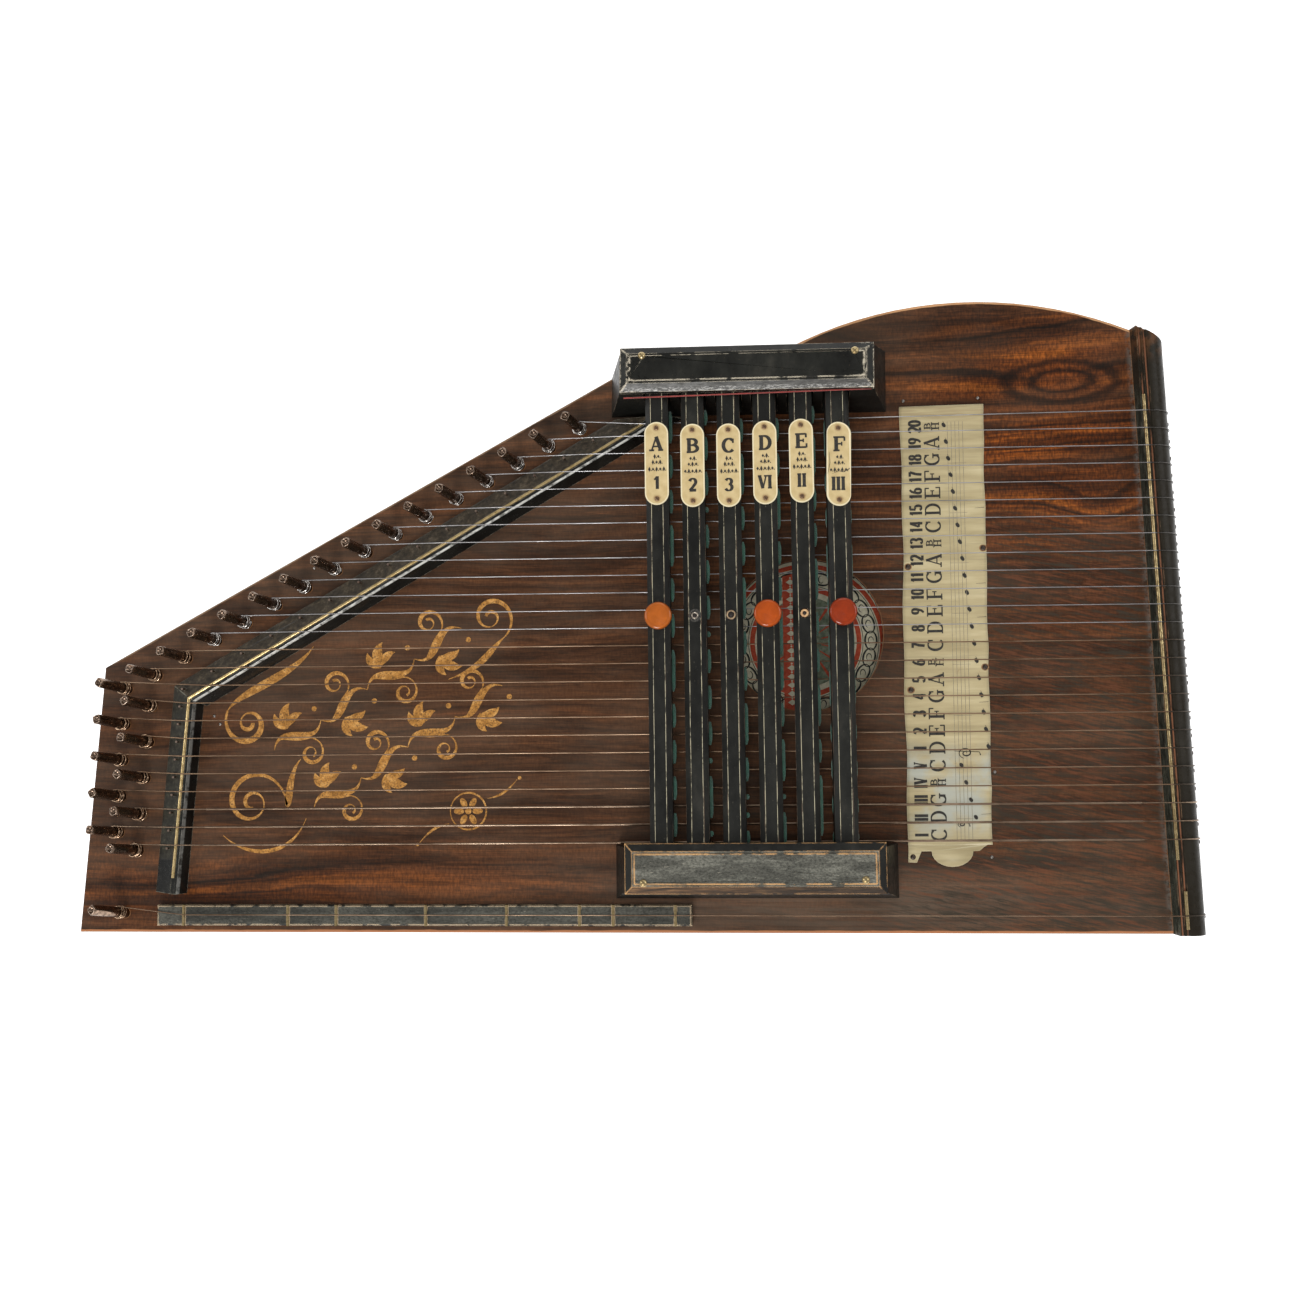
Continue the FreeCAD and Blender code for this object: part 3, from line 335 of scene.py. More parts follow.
def rosewood():
    """Dark varnished rosewood veneer: lengthwise rings, a knot in the bout and flames at the front."""
    p = Paint("rosewood_veneer", Specular_IOR_Level=0.18, Coat_Weight=0.04, Coat_Roughness=0.25)
    swells = (hill(p, 475, 262, 30, 11.0, 9), hill(p, 24, 27, 60, 12, 13), hill(p, 190, 14, 70, 7, 6),
              hill(p, 500, 195, 22, 22, 14), hill(p, 350, 175, 120, 10, 5), hill(p, 410, 283, 40, 9, 9),
              hill(p, 36, 100, 16, 34, 5))
    rings = p.y + p.noise((0.006, 0.02, 0.02), 2, 0.5) * 22.0
    rings += p.noise((0.025, 0.11, 0.1), 4, 0.65) * 5.5
    for swell in swells:
        rings += swell
    broad = p.noise_along(rings, 0.11, 1.0)
    bands = p.noise_along(rings, 0.40, 4.0)
    streaks = p.noise((0.014, 0.9, 1.0), 6, 0.75)
    figure = broad * 0.42 + (bands * 0.36 + streaks * 0.32)
    warm = hill(p, 475, 235, 66, 78, 1.15) + hill(p, 90, 22, 190, 17, 0.70)
    warm = warm + hill(p, 330, 205, 60, 60, 0.3)
    warm = warm * p.between(p.noise((0.007, 0.06, 0.05), 3, 0.6), 0.3, 0.62, 0.45, 1.0)
    warm = p.least(warm, 1.0)
    quiet = (1.0 - warm) * 0.38
    figure = figure + (0.555 - figure) * quiet
    flame_front = hill(p, 95, 21, 75, 11, 1.0) * (p.noise_along(rings, 0.17, 2.0) - 0.5)
    figure = figure + flame_front * 0.85
    calm = hill(p, KNOT_X, KNOT_Y, 32, 13, 0.9)
    figure = figure + (0.56 - figure) * calm
    plain = p.ramp(figure, (0.42, (0.020, 0.0085, 0.0038)), (0.51, (0.048, 0.0195, 0.0082)),
                   (0.58, (0.070, 0.0285, 0.0115)), (0.68, (0.112, 0.0400, 0.0145)))
    orange = p.ramp(figure, (0.42, (0.0100, 0.0030, 0.0007)), (0.50, (0.046, 0.0118, 0.0018)),
                    (0.57, (0.102, 0.0240, 0.0030)), (0.67, (0.210, 0.0560, 0.0060)))
    colour = p.mix(warm, plain, orange)
    flames = p.between(p.noise((0.010, 0.075, 0.1), 5, 0.7, 0.8), 0.40, 0.58, 0.48, 1.05)
    flames = flames + (1.1 - flames) * calm
    flames = flames * (1.0 - hill(p, 95, 21, 100, 14, 0.26))
    flecks = p.between(p.noise((0.95, 0.30, 1.0), 3, 0.6), 0.34, 0.68, 0.55, 1.75)
    flecks = (flecks - 1.0) * (warm * 0.65 + 0.25) + 1.0
    pores = p.between(p.noise((0.13, 3.4, 1.0), 3, 0.65), 0.56, 0.68, 1.05, 0.42)
    lines = p.between(p.noise((0.012, 2.6, 1.0), 3, 0.6), 0.36, 0.64, 0.80, 1.22)
    shade = flecks * pores * (lines * (flames * eye_shade(p)))
    bright = p.node("ShaderNodeVectorMath", operation="SCALE")
    p.link(bright.inputs[0], colour)
    p.link(bright.inputs["Scale"], shade)
    colour = bright.outputs[0]
    # A pale bloom on the varnish that is partly painted reflection, and a painted sheen along the front
    # strip.
    bloom_and_reflection = p.between(p.noise((0.012, 0.03, 0.03), 4, 0.65), 0.36, 0.66) * 0.16
    bloom_and_reflection = bloom_and_reflection * (1.0 - warm * 0.85)
    painted_front_sheen = p.between(p.noise((0.02, 0.5, 0.5), 4, 0.65), 0.36, 0.62, 0.5, 1.0)
    painted_front_sheen = hill(p, 375, 14, 130, 17, 0.36) * painted_front_sheen
    colour = p.mix(bloom_and_reflection + painted_front_sheen, colour, (0.165, 0.128, 0.092))
    slant = p.noise((0.058, 0.62, 1.0), 5, 0.75, place=p.turned(13))
    cloud = p.noise((0.022, 0.06, 0.05), 3, 0.6)
    right = p.between(p.x, ORIGIN_X + 370, ORIGIN_X + 430, 0.12, 1.0)
    right = right * p.between(p.y, ORIGIN_Y + 215, ORIGIN_Y + 175)
    reddish = p.between(slant, 0.49, 0.60) * p.between(cloud, 0.38, 0.58, 0.20, 0.70)
    colour = p.mix(reddish * right, colour, (0.125, 0.045, 0.021))
    blackish = p.between(slant, 0.51, 0.41) * p.between(cloud, 0.62, 0.42, 0.45, 0.95)
    colour = p.mix(blackish * right, colour, (0.036, 0.028, 0.019))
    by_tail = p.between(tail_inset(p), 17.5, 14.4) * p.between(p.noise(0.4, 4, 0.75), 0.38, 0.58)
    colour = p.mix(by_tail * 0.6, colour, (0.125, 0.115, 0.10))
    scuffs = p.between(p.noise((0.3, 0.3, 0.3), 5, 0.8, 1.0), 0.68, 0.76) * 0.25
    colour = p.mix(scuffs, colour, (0.26, 0.20, 0.15))
    colour = p.mix(p.specks(0.055, 0.2) * 0.4, colour, (0.36, 0.30, 0.25))
    colour = edge_bands(p, colour)
    worn = p.edges(0.7) * p.between(p.noise((0.05, 0.05, 0.3), 3, 0.6), 0.32, 0.5, 0.15, 0.7)
    p.set("Base Color", p.mix(worn, colour, (0.26, 0.12, 0.05)))
    p.roughen(p.noise((0.05, 0.5, 0.5), 3, 0.6), 0.36, 0.55)
    p.bump(pores * 0.6 + p.noise((0.05, 1.2, 1.0), 2), 0.04, 0.3)
    return p.material


def timber(name, dark, light, along=(0.02, 0.9, 0.9), wear=None):
    """Straight-grained wood for rims, blocks and braces."""
    p = Paint(name)
    grain = p.noise(along, 4, 0.6, 0.4)
    colour = p.ramp(grain, (0.3, dark), (0.72, light))
    pores = p.between(p.noise(tuple(4 * s for s in along), 2, 0.6), 0.58, 0.7, 0.0, 0.55)
    colour = p.mix(pores, colour, shaded(dark, 0.35))
    if wear:
        worn = p.edges(0.8) * p.between(p.noise(0.12, 3, 0.6), 0.35, 0.55)
        colour = p.mix(worn, colour, wear)
    p.set("Base Color", colour)
    p.roughen(grain, 0.45, 0.62)
    p.bump(grain, 0.08, 0.4)
    return p.material


def black_polish(p, tone=1.0):
    """Colour of thin black polish over wood, with brownish rubbed patches and grey bloom."""
    cloud = p.noise((0.07, 0.04, 0.07), 5, 0.65)
    base = p.ramp(cloud, (0.34, shaded((0.0060, 0.0060, 0.0052), tone)),
                  (0.58, shaded((0.0155, 0.0155, 0.0130), tone)),
                  (0.76, shaded((0.034, 0.032, 0.026), tone)))
    scratch = p.between(p.noise((0.35, 1.8, 0.5), 5, 0.8), 0.66, 0.74) * 0.35
    rubbed = p.between(p.noise((0.6, 0.2, 0.6), 4, 0.7), 0.62, 0.74, 0.0, 0.4)
    return p.mix(scratch, p.mix(rubbed, base, (0.045, 0.035, 0.024)), (0.11, 0.10, 0.085))


def front_slope(p):
    """1 on bevels that face the front and look upwards too."""
    return p.facing(0, -1, 0, 0.12, 0.3) * p.facing(0, 0, 1, 0.3, 0.45)


def ebonised(name, wear=(0.46, 0.33, 0.19), edge=0.5, amount=(0.52, 0.60), gloss=(0.25, 0.45), film=0.0,
             rubbed_from=None, chipped=None):
    """Black-polished wood rubbed through at its corners, with a grey film on the flat top.

    Faces that look to the front are darkened as painted shade. Slopes that face the front are rubbed brown,
    most of all near the x given by rubbed_from. With chipped, the ends of the named node are chipped and its
    front slope gets a painted sheen, with painted glints near its lower lip.
    """
    p = Paint(name, Specular_IOR_Level=0.2)
    patches = p.between(p.noise(0.16, 4, 0.65), *amount)
    worn = p.edges(edge) * patches
    chips = p.specks(0.35, 0.25) * 0.35
    colour = p.mix(chips, black_polish(p), (0.12, 0.09, 0.06))
    level = p.facing(0, 0, 1, 0.93, 0.985)
    if film:
        grain = p.between(p.noise((0.8, 1.3, 1.1), 6, 0.85), 0.36, 0.62, 0.22, 1.0)
        cloud = p.between(p.noise((0.035, 0.14, 0.1), 4, 0.6), 0.40, 0.60, 0.42, 1.0)
        colour = p.mix(grain * cloud * level * film, colour, (0.235, 0.23, 0.19))
        scratch = p.between(p.noise((0.16, 2.1, 0.5), 6, 0.8), 0.62, 0.67)
        colour = p.mix(scratch * level * 0.75, colour, (0.55, 0.50, 0.39))
    # Painted shade: faces that look to the front are darkened.
    front = p.facing(0, -1, 0, 0.3, 0.8)
    colour = p.mix(front * 0.6, colour, (0.004, 0.004, 0.0035))
    if chipped:
        low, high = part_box(chipped)
        from_middle = abs(p.x - (low.x + high.x) / 2 / MM)
        half = (high.x - low.x) / 2 / MM
        ends = p.between(from_middle, half - 9.0, half - 5.0) * p.between(p.noise(0.45, 4, 0.7), 0.46, 0.54)
        worn = p.greatest(worn, p.edges(1.5) * ends)
        # Painted sheen on the front slope, and painted glints near its lower lip.
        painted_slope_sheen = front_slope(p) * p.between(p.noise((0.25, 1.6, 1.6), 6, 0.8), 0.36, 0.64, 0.25, 1.0)
        colour = p.mix(painted_slope_sheen, colour, (0.095, 0.091, 0.083))
        lip = p.between(p.z, low.z / MM + 4.7, low.z / MM + 3.9)
        glints = painted_slope_sheen * lip * p.between(p.noise((0.5, 1.6, 1.6), 4, 0.8), 0.48, 0.58, 0.0, 0.95)
        colour = p.mix(glints, colour, (0.52, 0.51, 0.48))
    if rubbed_from is not None:
        brown = p.ramp(p.noise((0.07, 0.8, 0.8), 5, 0.7), (0.36, (0.022, 0.014, 0.008)),
                       (0.52, (0.085, 0.044, 0.020)), (0.68, (0.24, 0.125, 0.050)))
        near = p.between(p.x, rubbed_from, rubbed_from + 95.0, 0.95, 0.35)
        colour = p.mix(front_slope(p) * near, colour, brown)
        patches = patches + p.between(p.x, rubbed_from + 60.0, rubbed_from + 10.0, 0.0, 0.5)
        worn = p.least(p.edges(edge) * patches, 1.0)
    p.set("Base Color", p.mix(worn, colour, wear))
    p.roughen(p.noise(0.3, 3, 0.6), *gloss)
    p.bump(p.noise((1.2, 0.2, 1.2), 3, 0.6) + worn * -1.0, 0.05, 0.4)
    return p.material


def bar_black():
    """Chord bars: black polish with two gold pinstripes on the flat and rubbed arrises."""
    p = Paint("chord_bar_black", Specular_IOR_Level=0.25)
    first = middle("chord_bar_1")[0] + ORIGIN_X
    steps = (p.x - (first - BAR_PITCH / 2)) * (1 / BAR_PITCH)
    across = (p.math("FRACT", steps) - 0.5) * BAR_PITCH
    wander = (p.noise((0.2, 0.03, 0.2), 2) - 0.5) * 0.35
    off_line = abs(abs(across + wander) - 2.7)
    line = p.between(off_line, 0.15, 0.06)
    skips = p.between(p.noise((0.6, 0.14, 0.6), 5, 0.8), 0.42, 0.54, 0.10, 1.0)
    upper = p.between(p.z, BOARD_TOP + BAR_TOP - 1.4, BOARD_TOP + BAR_TOP - 0.9)
    stripe = line * skips * upper
    worn = p.edges(0.4) * p.between(p.noise((0.4, 0.05, 0.4), 4, 0.7), 0.50, 0.60, 0.0, 0.8)
    colour = p.mix(worn, black_polish(p, 0.85), (0.27, 0.18, 0.12))
    nicks = p.between(p.noise((0.9, 0.7, 0.9), 4, 0.8), 0.66, 0.72, 0.0, 0.55)
    colour = p.mix(nicks, colour, (0.20, 0.18, 0.14))
    p.set("Base Color", p.mix(stripe, colour, (0.50, 0.45, 0.31)))
    p.roughen(p.noise(0.25, 3, 0.6), 0.32, 0.52)
    p.bump(p.noise((1.0, 0.15, 1.0), 3, 0.6), 0.05, 0.35)
    return p.material


def nut_black(name, outward, dust, glint):
    """Nut mouldings: an outer slope dulled by dust; glossy black past the crest, with a painted highlight on
    the arris.
    """
    p = Paint(name, Specular_IOR_Level=0.3, Coat_Weight=0.12, Coat_Roughness=0.12)
    strip = p.facing(outward[0], outward[1], 0.0, 0.12, 0.3)
    strip = strip * p.between(p.y, ORIGIN_Y + 35, ORIGIN_Y + 37)
    grime = p.ramp(p.noise((0.30, 0.30, 0.6), 6, 0.8), (0.36, shaded(dust, 0.3)), (0.53, dust),
                   (0.72, shaded(dust, 3.2)))
    worn = p.edges(0.5) * p.between(p.noise(0.2, 4, 0.7), 0.42, 0.55, 0.1, 0.85)
    colour = p.mix(worn, p.mix(strip, black_polish(p, 0.55), grime), (0.19, 0.18, 0.14))
    # Painted highlight: a bright line along the arris, broken up by a noise, as strong as glint asks.
    past_x = (p.x - (ORIGIN_X + NUT_CORNER[0])) * -outward[0]
    past_y = (p.y - (ORIGIN_Y + NUT_CORNER[1])) * -outward[1]
    off_arris = abs(past_x + past_y - NUT_ARRIS)
    breaks = p.between(p.noise((0.22, 0.22, 0.22), 4, 0.7), 0.36, 0.54, 0.15, 1.0)
    bright = p.between(off_arris, 0.50, 0.22) * breaks * glint
    p.set("Base Color", p.mix(bright, colour, (0.66, 0.65, 0.60)))
    p.set("Roughness", strip * 0.35 + p.between(p.noise(0.4, 3), 0.3, 0.7, 0.14, 0.3))
    p.bump(p.noise((0.9, 0.4, 0.9), 4, 0.65), 0.07, 0.4)
    return p.material


def tail_black():
    """Tail moulding: black polish, with bare wood showing in the two wire grooves and at the back end."""
    p = Paint("tail_black", Specular_IOR_Level=0.08)
    inset = tail_inset(p)
    nearest = p.least(abs(inset - TAIL_WIRE_INSET), abs(inset - MELODY_WIRE_INSET))
    bared = p.between(nearest, 0.42, 0.22) * p.between(p.noise((0.5, 0.05, 0.5), 4, 0.7), 0.36, 0.5)
    sunk = p.between(p.z, BOARD_TOP + TAIL_TOP - 0.08, BOARD_TOP + TAIL_TOP - 0.2)
    worn = p.edges(0.5) * p.between(p.noise((0.3, 0.05, 0.3), 4, 0.7), 0.52, 0.62, 0.0, 0.8)
    bare_end = p.between(p.y, ORIGIN_Y + 262, ORIGIN_Y + 279) * p.between(p.noise(0.2, 3), 0.4, 0.6)
    cloud = p.noise((0.5, 0.12, 0.5), 6, 0.8)
    grime = p.ramp(cloud, (0.36, (0.008, 0.009, 0.007)), (0.5, (0.026, 0.028, 0.021)),
                   (0.70, (0.10, 0.10, 0.075)))
    # Grey-green grime on the face toward the board, which also stands as painted light falling on that face.
    grime_and_light_band = p.between(inset, 12.6, 13.2) * p.between(p.y, ORIGIN_Y + 262, ORIGIN_Y + 240)
    warm_black = p.mix(0.5, black_polish(p), (0.026, 0.020, 0.013))
    colour = p.mix(grime_and_light_band, warm_black, grime)
    colour = p.mix(bare_end * 0.6, colour, (0.13, 0.055, 0.022))
    colour = p.mix(bared * sunk, colour, (0.20, 0.085, 0.045))
    colour = p.mix(worn, colour, (0.24, 0.14, 0.08))
    p.set("Base Color", colour)
    p.roughen(p.noise(0.3, 3), 0.22, 0.42)
    p.bump(p.noise((0.8, 0.2, 0.8), 3, 0.6), 0.06, 0.35)
    return p.material


def tail_inset(p):
    """Distance in from the right-hand side of the soundbox."""
    edge_x = (p.y - ORIGIN_Y) * SIDE_LEAN + (FRONT_LENGTH + ORIGIN_X)
    return edge_x - p.x


def metal(name, dark, light, roughness, scale=0.6, pitted=0.3, rubbed=None, dull_tail=False):
    """Metal with a tarnish that wanders between two tones; with rubbed, its edges are lighter, both rubbed
    metal and a painted highlight.
    """
    p = Paint(name, Metallic=1.0)
    tarnish = p.noise(scale, 4, 0.65)
    colour = p.ramp(tarnish, (0.32, dark), (0.66, light))
    # Lighter edges: rubbed metal, and also a painted highlight on the rims.
    if rubbed:
        colour = p.mix(p.edges(0.35, 0.01, 0.06), colour, rubbed)
    if dull_tail:
        beyond = p.between(tail_inset(p), TAIL_WIRE_INSET + 0.3, TAIL_WIRE_INSET - 1.5, 0.0, 0.9)
        colour = p.mix(beyond, colour, (0.055, 0.048, 0.040))
    p.set("Base Color", colour)
    p.roughen(tarnish, roughness[1], roughness[0])
    if pitted:
        p.bump(p.noise(scale * 4, 3, 0.6), 0.03, pitted)
    return p.material


def felt(name, dark, light):
    """Fuzzy felt with a faint cloud of lighter fibres."""
    p = Paint(name, Sheen_Weight=0.35, Sheen_Roughness=0.6, Roughness=0.95)
    fibres = p.noise(2.2, 4, 0.75, 1.5)
    p.set("Base Color", p.ramp(fibres * 0.6 + p.noise(0.12, 3) * 0.4, (0.35, dark), (0.62, light)))
    p.bump(fibres, 0.5, 0.7)
    return p.material


def card_paper():
    """Aged cream card: foxing, a blue-grey stain low down and a browner top strip."""
    p = Paint("aged_card", Roughness=0.72)
    low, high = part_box("note_card")
    front, back = low.y / MM, high.y / MM
    base = p.ramp(p.noise((0.02, 0.16, 0.1), 4, 0.6), (0.3, (0.31, 0.25, 0.13)), (0.55, (0.425, 0.35, 0.195)),
                  (0.75, (0.53, 0.455, 0.275)))
    # Darker bands across the card: painted shade in its creases.
    crease_shade = p.between(p.noise((0.012, 0.30, 0.1), 4, 0.7), 0.50, 0.72, 0.0, 0.5)
    base = p.mix(crease_shade, base, (0.25, 0.21, 0.12))
    stain = p.between(p.y, front + 62, front + 45) * p.between(p.y, front + 10, front + 22)
    stain = stain * p.between(p.noise((0.05, 0.05, 0.05), 4, 0.6), 0.38, 0.6)
    base = p.mix(stain * 0.65, base, (0.36, 0.40, 0.38))
    top = p.between(p.y, back - 9, back - 5) * p.between(p.noise((0.05, 0.6, 0.1), 3), 0.35, 0.6)
    base = p.mix(top * 0.55, base, (0.28, 0.21, 0.11))
    foxing = p.between(p.noise(0.22, 4, 0.7), 0.66, 0.78) * 0.6
    base = p.mix(foxing, base, (0.27, 0.16, 0.06))
    worn = p.edges(0.5) * 0.5
    p.set("Base Color", p.mix(worn, base, (0.72, 0.66, 0.48)))
    p.bump(p.noise(1.5, 4, 0.7), 0.05, 0.4)
    return p.material


def printed(name, dark, light, scale=0.8, roughness=0.6):
    """Ink, paint or paper tint with slight unevenness."""
    p = Paint(name, Roughness=roughness)
    cloud = p.noise(scale, 4, 0.7)
    p.set("Base Color", p.ramp(cloud, (0.35, dark), (0.65, light)))
    p.bump(cloud, 0.02, 0.3)
    return p.material


def gold_leaf():
    """Bronze-powder gold with dark specks where it has flaked."""
    p = Paint("gold_paint", Metallic=0.25)
    cloud = p.noise(0.35, 3, 0.6)
    gold = p.ramp(cloud, (0.3, (0.27, 0.115, 0.018)), (0.52, (0.47, 0.215, 0.042)),
                  (0.72, (0.68, 0.37, 0.11)))
    flaked = p.between(p.noise(1.3, 6, 0.85), 0.50, 0.58)
    p.set("Base Color", p.mix(flaked * 0.85, gold, (0.065, 0.032, 0.013)))
    p.roughen(cloud, 0.38, 0.6)
    return p.material


def celluloid():
    """Yellowed plate: pale rim, rust halos round the two pins."""
    p = Paint("yellowed_celluloid", Roughness=0.4, Specular_IOR_Level=0.3)
    base = p.ramp(p.noise(0.3, 3, 0.5), (0.3, (0.46, 0.345, 0.165)), (0.7, (0.56, 0.44, 0.235)))
    reach = LABEL_LENGTH / 2 - LABEL_WIDTH / 2
    past = p.greatest(abs(p.y) - reach, 0.0)
    out = p.distance(p.x, past)
    rim = p.between(out, LABEL_WIDTH / 2 - 0.75, LABEL_WIDTH / 2 - 0.5)
    from_pin = abs(p.y) - (LABEL_LENGTH / 2 - LABEL_PIN_INSET)
    halo = p.distance(p.x, from_pin)
    rust = p.between(halo + p.noise(0.8, 3) * 1.2, 2.9, 1.2, 0.0, 0.85)
    grime = p.between(p.noise(1.1, 4, 0.7), 0.6, 0.75, 0.0, 0.3)
    base = p.mix(grime, base, (0.36, 0.24, 0.1))
    p.set("Base Color", p.mix(rust, p.mix(rim, base, (0.70, 0.61, 0.40)), (0.20, 0.10, 0.04)))
    return p.material


def resin(name, colour):
    """Clouded orange button resin, with painted shade in the ring below the dome and at the rim."""
    p = Paint(name, Roughness=0.16, Specular_IOR_Level=0.3, Coat_Weight=0.25, Coat_Roughness=0.03)
    base = p.ramp(p.noise(0.22, 3, 0.5, 0.6), (0.3, shaded(colour, 0.72)), (0.7, colour))
    out = p.distance(p.x, p.y)
    # Painted shade in the ring below the dome.
    ring = p.between(out, 4.2, 4.7) * p.between(out, 5.5, 5.0)
    base = p.mix(ring * 0.35, base, shaded(colour, 0.55))
    # Painted shade at the rim, where the edge rounds away.
    rim = p.between(out, BUTTON_RADIUS - 0.9, BUTTON_RADIUS - 0.2, 0.0, 0.5)
    p.set("Base Color", p.mix(rim, base, shaded(colour, 0.45)))
    return p.material


def floor_paint():
    """Nearly white floor, which glows a little so that it stays as pale as the paper behind the object."""
    p = Paint("pale_floor", Roughness=0.9, Emission_Color=(1, 1, 1, 1), Emission_Strength=0.6)
    p.set("Base Color", p.ramp(p.noise(0.004, 2), (0.3, (0.93, 0.93, 0.93)), (0.7, (0.96, 0.96, 0.96))))
    return p.material


# ---------------------------------------------------------------- pieces
def finish_piece(obj, material, body):
    """Puts a new piece in the scene, on its body and in its material slot."""
    bpy.context.scene.collection.objects.link(obj)
    obj.data.materials.append(material)
    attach(obj, body)
    return obj


def mesh_piece(name, vertices, faces, material, body, slot, smooth=True, at=None):
    """A piece from vertices and faces, which stands at a place of its own if one is given."""
    mesh = bpy.data.meshes.new(name)
    mesh.from_pydata([tuple(v) for v in vertices], [], faces)
    mesh.polygons.foreach_set("use_smooth", [smooth] * len(mesh.polygons))
    mesh.update()
    obj = bpy.data.objects.new(name, mesh)
    if at is not None:
        obj.matrix_world = at
    return finish_piece(obj, material, body)


def soften(obj, width):
    """Small rounded arrises on a hard-edged piece."""
    obj.modifiers.new("weld", "WELD").merge_threshold = 0.00001
    bevel = obj.modifiers.new("arris", "BEVEL")
    bevel.width = width * MM
    bevel.segments = 2
    bevel.limit_method = "ANGLE"
    bevel.angle_limit = math.radians(35)
    bevel.use_clamp_overlap = True
    bevel.harden_normals = True


def wire(name, points, radius, material, body):
    """A round wire along points, with its radius in millimetres."""
    data = bpy.data.curves.new(name, "CURVE")
    data.dimensions = "3D"
    data.bevel_depth = radius * MM
    data.bevel_resolution = 3
    data.use_fill_caps = True
    spline = data.splines.new("POLY")
    spline.points.add(len(points) - 1)
    for point, place in zip(spline.points, points):
        point.co = (*place, 1.0)
    spline.use_smooth = True
    return finish_piece(bpy.data.objects.new(name, data), material, body)


def rings_mesh(rings):
    """Vertices and faces of a closed skin over rings with the same number of points."""
    count = len(rings[0])
    vertices = [point for ring in rings for point in ring]
    faces = []
    for row in range(len(rings) - 1):
        for i in range(count):
            j = (i + 1) % count
            faces.append((row * count + i, row * count + j, (row + 1) * count + j, (row + 1) * count + i))
    faces.append(tuple(range(count))[::-1])
    faces.append(tuple(range(len(vertices) - count, len(vertices))))
    return vertices, faces


def joined_rings(groups):
    """Vertices and faces of several skins over rings, as one mesh."""
    vertices, faces = [], []
    for rings in groups:
        more, skins = rings_mesh(rings)
        faces += [tuple(len(vertices) + i for i in face) for face in skins]
        vertices += more
    return vertices, faces


def turned_rings(profile, segments, squareness=None):
    """Rings of a turned shape from (radius, height) pairs. A squareness over 2 makes a ring squarer."""
    rings = []
    for row, (radius, height) in enumerate(profile):
        power = squareness[row] if squareness else 2.0
        ring = []
        for i in range(segments):
            angle = 2 * math.pi * i / segments
            c, s = math.cos(angle), math.sin(angle)
            reach = radius / (abs(c) ** power + abs(s) ** power) ** (1 / power)
            ring.append(Vector((reach * c, reach * s, height)) * MM)
        rings.append(ring)
    return rings


def lathe(name, profile, at, material, body, slot, segments):
    """A turned piece that stands at a place."""
    vertices, faces = rings_mesh(turned_rings(profile, segments))
    return mesh_piece(name, vertices, faces, material, body, slot, at=at)


class Ink:
    """Thin flat shapes gathered into one piece. `lay` turns a flat point in millimetres into its place."""

    thickness = 0.04
    overlap = 0.004

    def __init__(self, lay):
        self.lay = lay
        self.vertices = []
        self.faces = []
        self.strokes = 0

    def add(self, points, faces):
        """Each stroke lies a hair above the one before, as wet paint over dry."""
        rise = Vector((0, 0, self.overlap * (self.strokes % 10) * MM))
        self.strokes += 1
        start = len(self.vertices)
        self.vertices += [self.lay(x, y) + rise for x, y in points]
        self.faces += [tuple(start + i for i in face) for face in faces]

    def polygon(self, points):
        """A filled outline."""
        self.add(points, [tuple(range(len(points)))])

    def stroke(self, points, widths):
        """Ribbon along points with a width at each, as a pen or brush leaves it."""
        edges = []
        for i, (x, y) in enumerate(points):
            before, after = points[max(i - 1, 0)], points[min(i + 1, len(points) - 1)]
            dx, dy = after[0] - before[0], after[1] - before[1]
            size = math.hypot(dx, dy) or 1.0
            half = widths[i] / 2
            edges.append((x - dy / size * half, y + dx / size * half))
            edges.append((x + dy / size * half, y - dx / size * half))
        self.add(edges, [(a, a + 1, a + 3, a + 2) for a in range(0, len(edges) - 2, 2)])

    def ring(self, x, y, outer, inner, segments, wobble=0.0):
        """A round band between two radii, which may swell and thin by a share."""
        points = arc(x, y, (outer + inner) / 2, (outer + inner) / 2, 0, 360, segments)
        waves = [wobble * math.sin(3 * math.pi * i / segments) for i in range(segments + 1)]
        self.stroke(points, [(outer - inner) * (1 + wave) for wave in waves])

    def disc(self, x, y, radius, segments=24, stretch=1.0, turn=0.0):
        """A filled circle, or an ellipse stretched along a direction."""
        rim = arc(0, 0, radius * stretch, radius, 0, 360, segments)[:-1]
        self.polygon(turned(rim, x, y, turn))

    def glyph(self, mark, x, y, width, height, weight, turn=0.0):
        """An index letter or figure in a box centred on x, y. Curves swell where they run upright."""
        for share, outline in MARKS[mark]:
            box = [((u - 0.5) * width, (v - 0.5) * height) for u, v in outline]
            widths = []
            for i in range(len(box)):
                before, after = box[max(i - 1, 0)], box[min(i + 1, len(box) - 1)]
                upright = abs(after[1] - before[1]) / (math.dist(before, after) or 1.0)
                swell = 0.45 + 0.55 * upright if len(box) > 3 else 1.0
                widths.append(weight * share * swell)
            self.stroke(turned(box, x, y, turn), widths)

    def piece(self, name, material, body, slot):
        """Makes one piece of everything drawn so far."""
        obj = mesh_piece(name, self.vertices, self.faces, material, body, slot, smooth=False)
        solidify = obj.modifiers.new("ink", "SOLIDIFY")
        solidify.thickness = self.thickness * MM
        solidify.offset = -1.0
        return obj


def turned(points, x, y, turn):
    """Points turned by an angle about their middle, which is moved to x, y."""
    c, s = math.cos(turn), math.sin(turn)
    return [(x + a * c - b * s, y + a * s + b * c) for a, b in points]


def arc(x, y, wide, tall, start, end, count=14):
    """Points along an ellipse between two angles in degrees."""
    turns = [math.radians(start + (end - start) * i / count) for i in range(count + 1)]
    return [(x + wide * math.cos(turn), y + tall * math.sin(turn)) for turn in turns]


def flat(height, left, right, share=0.5):
    """Level stroke of an index mark."""
    return share, [(left, height), (right, height)]


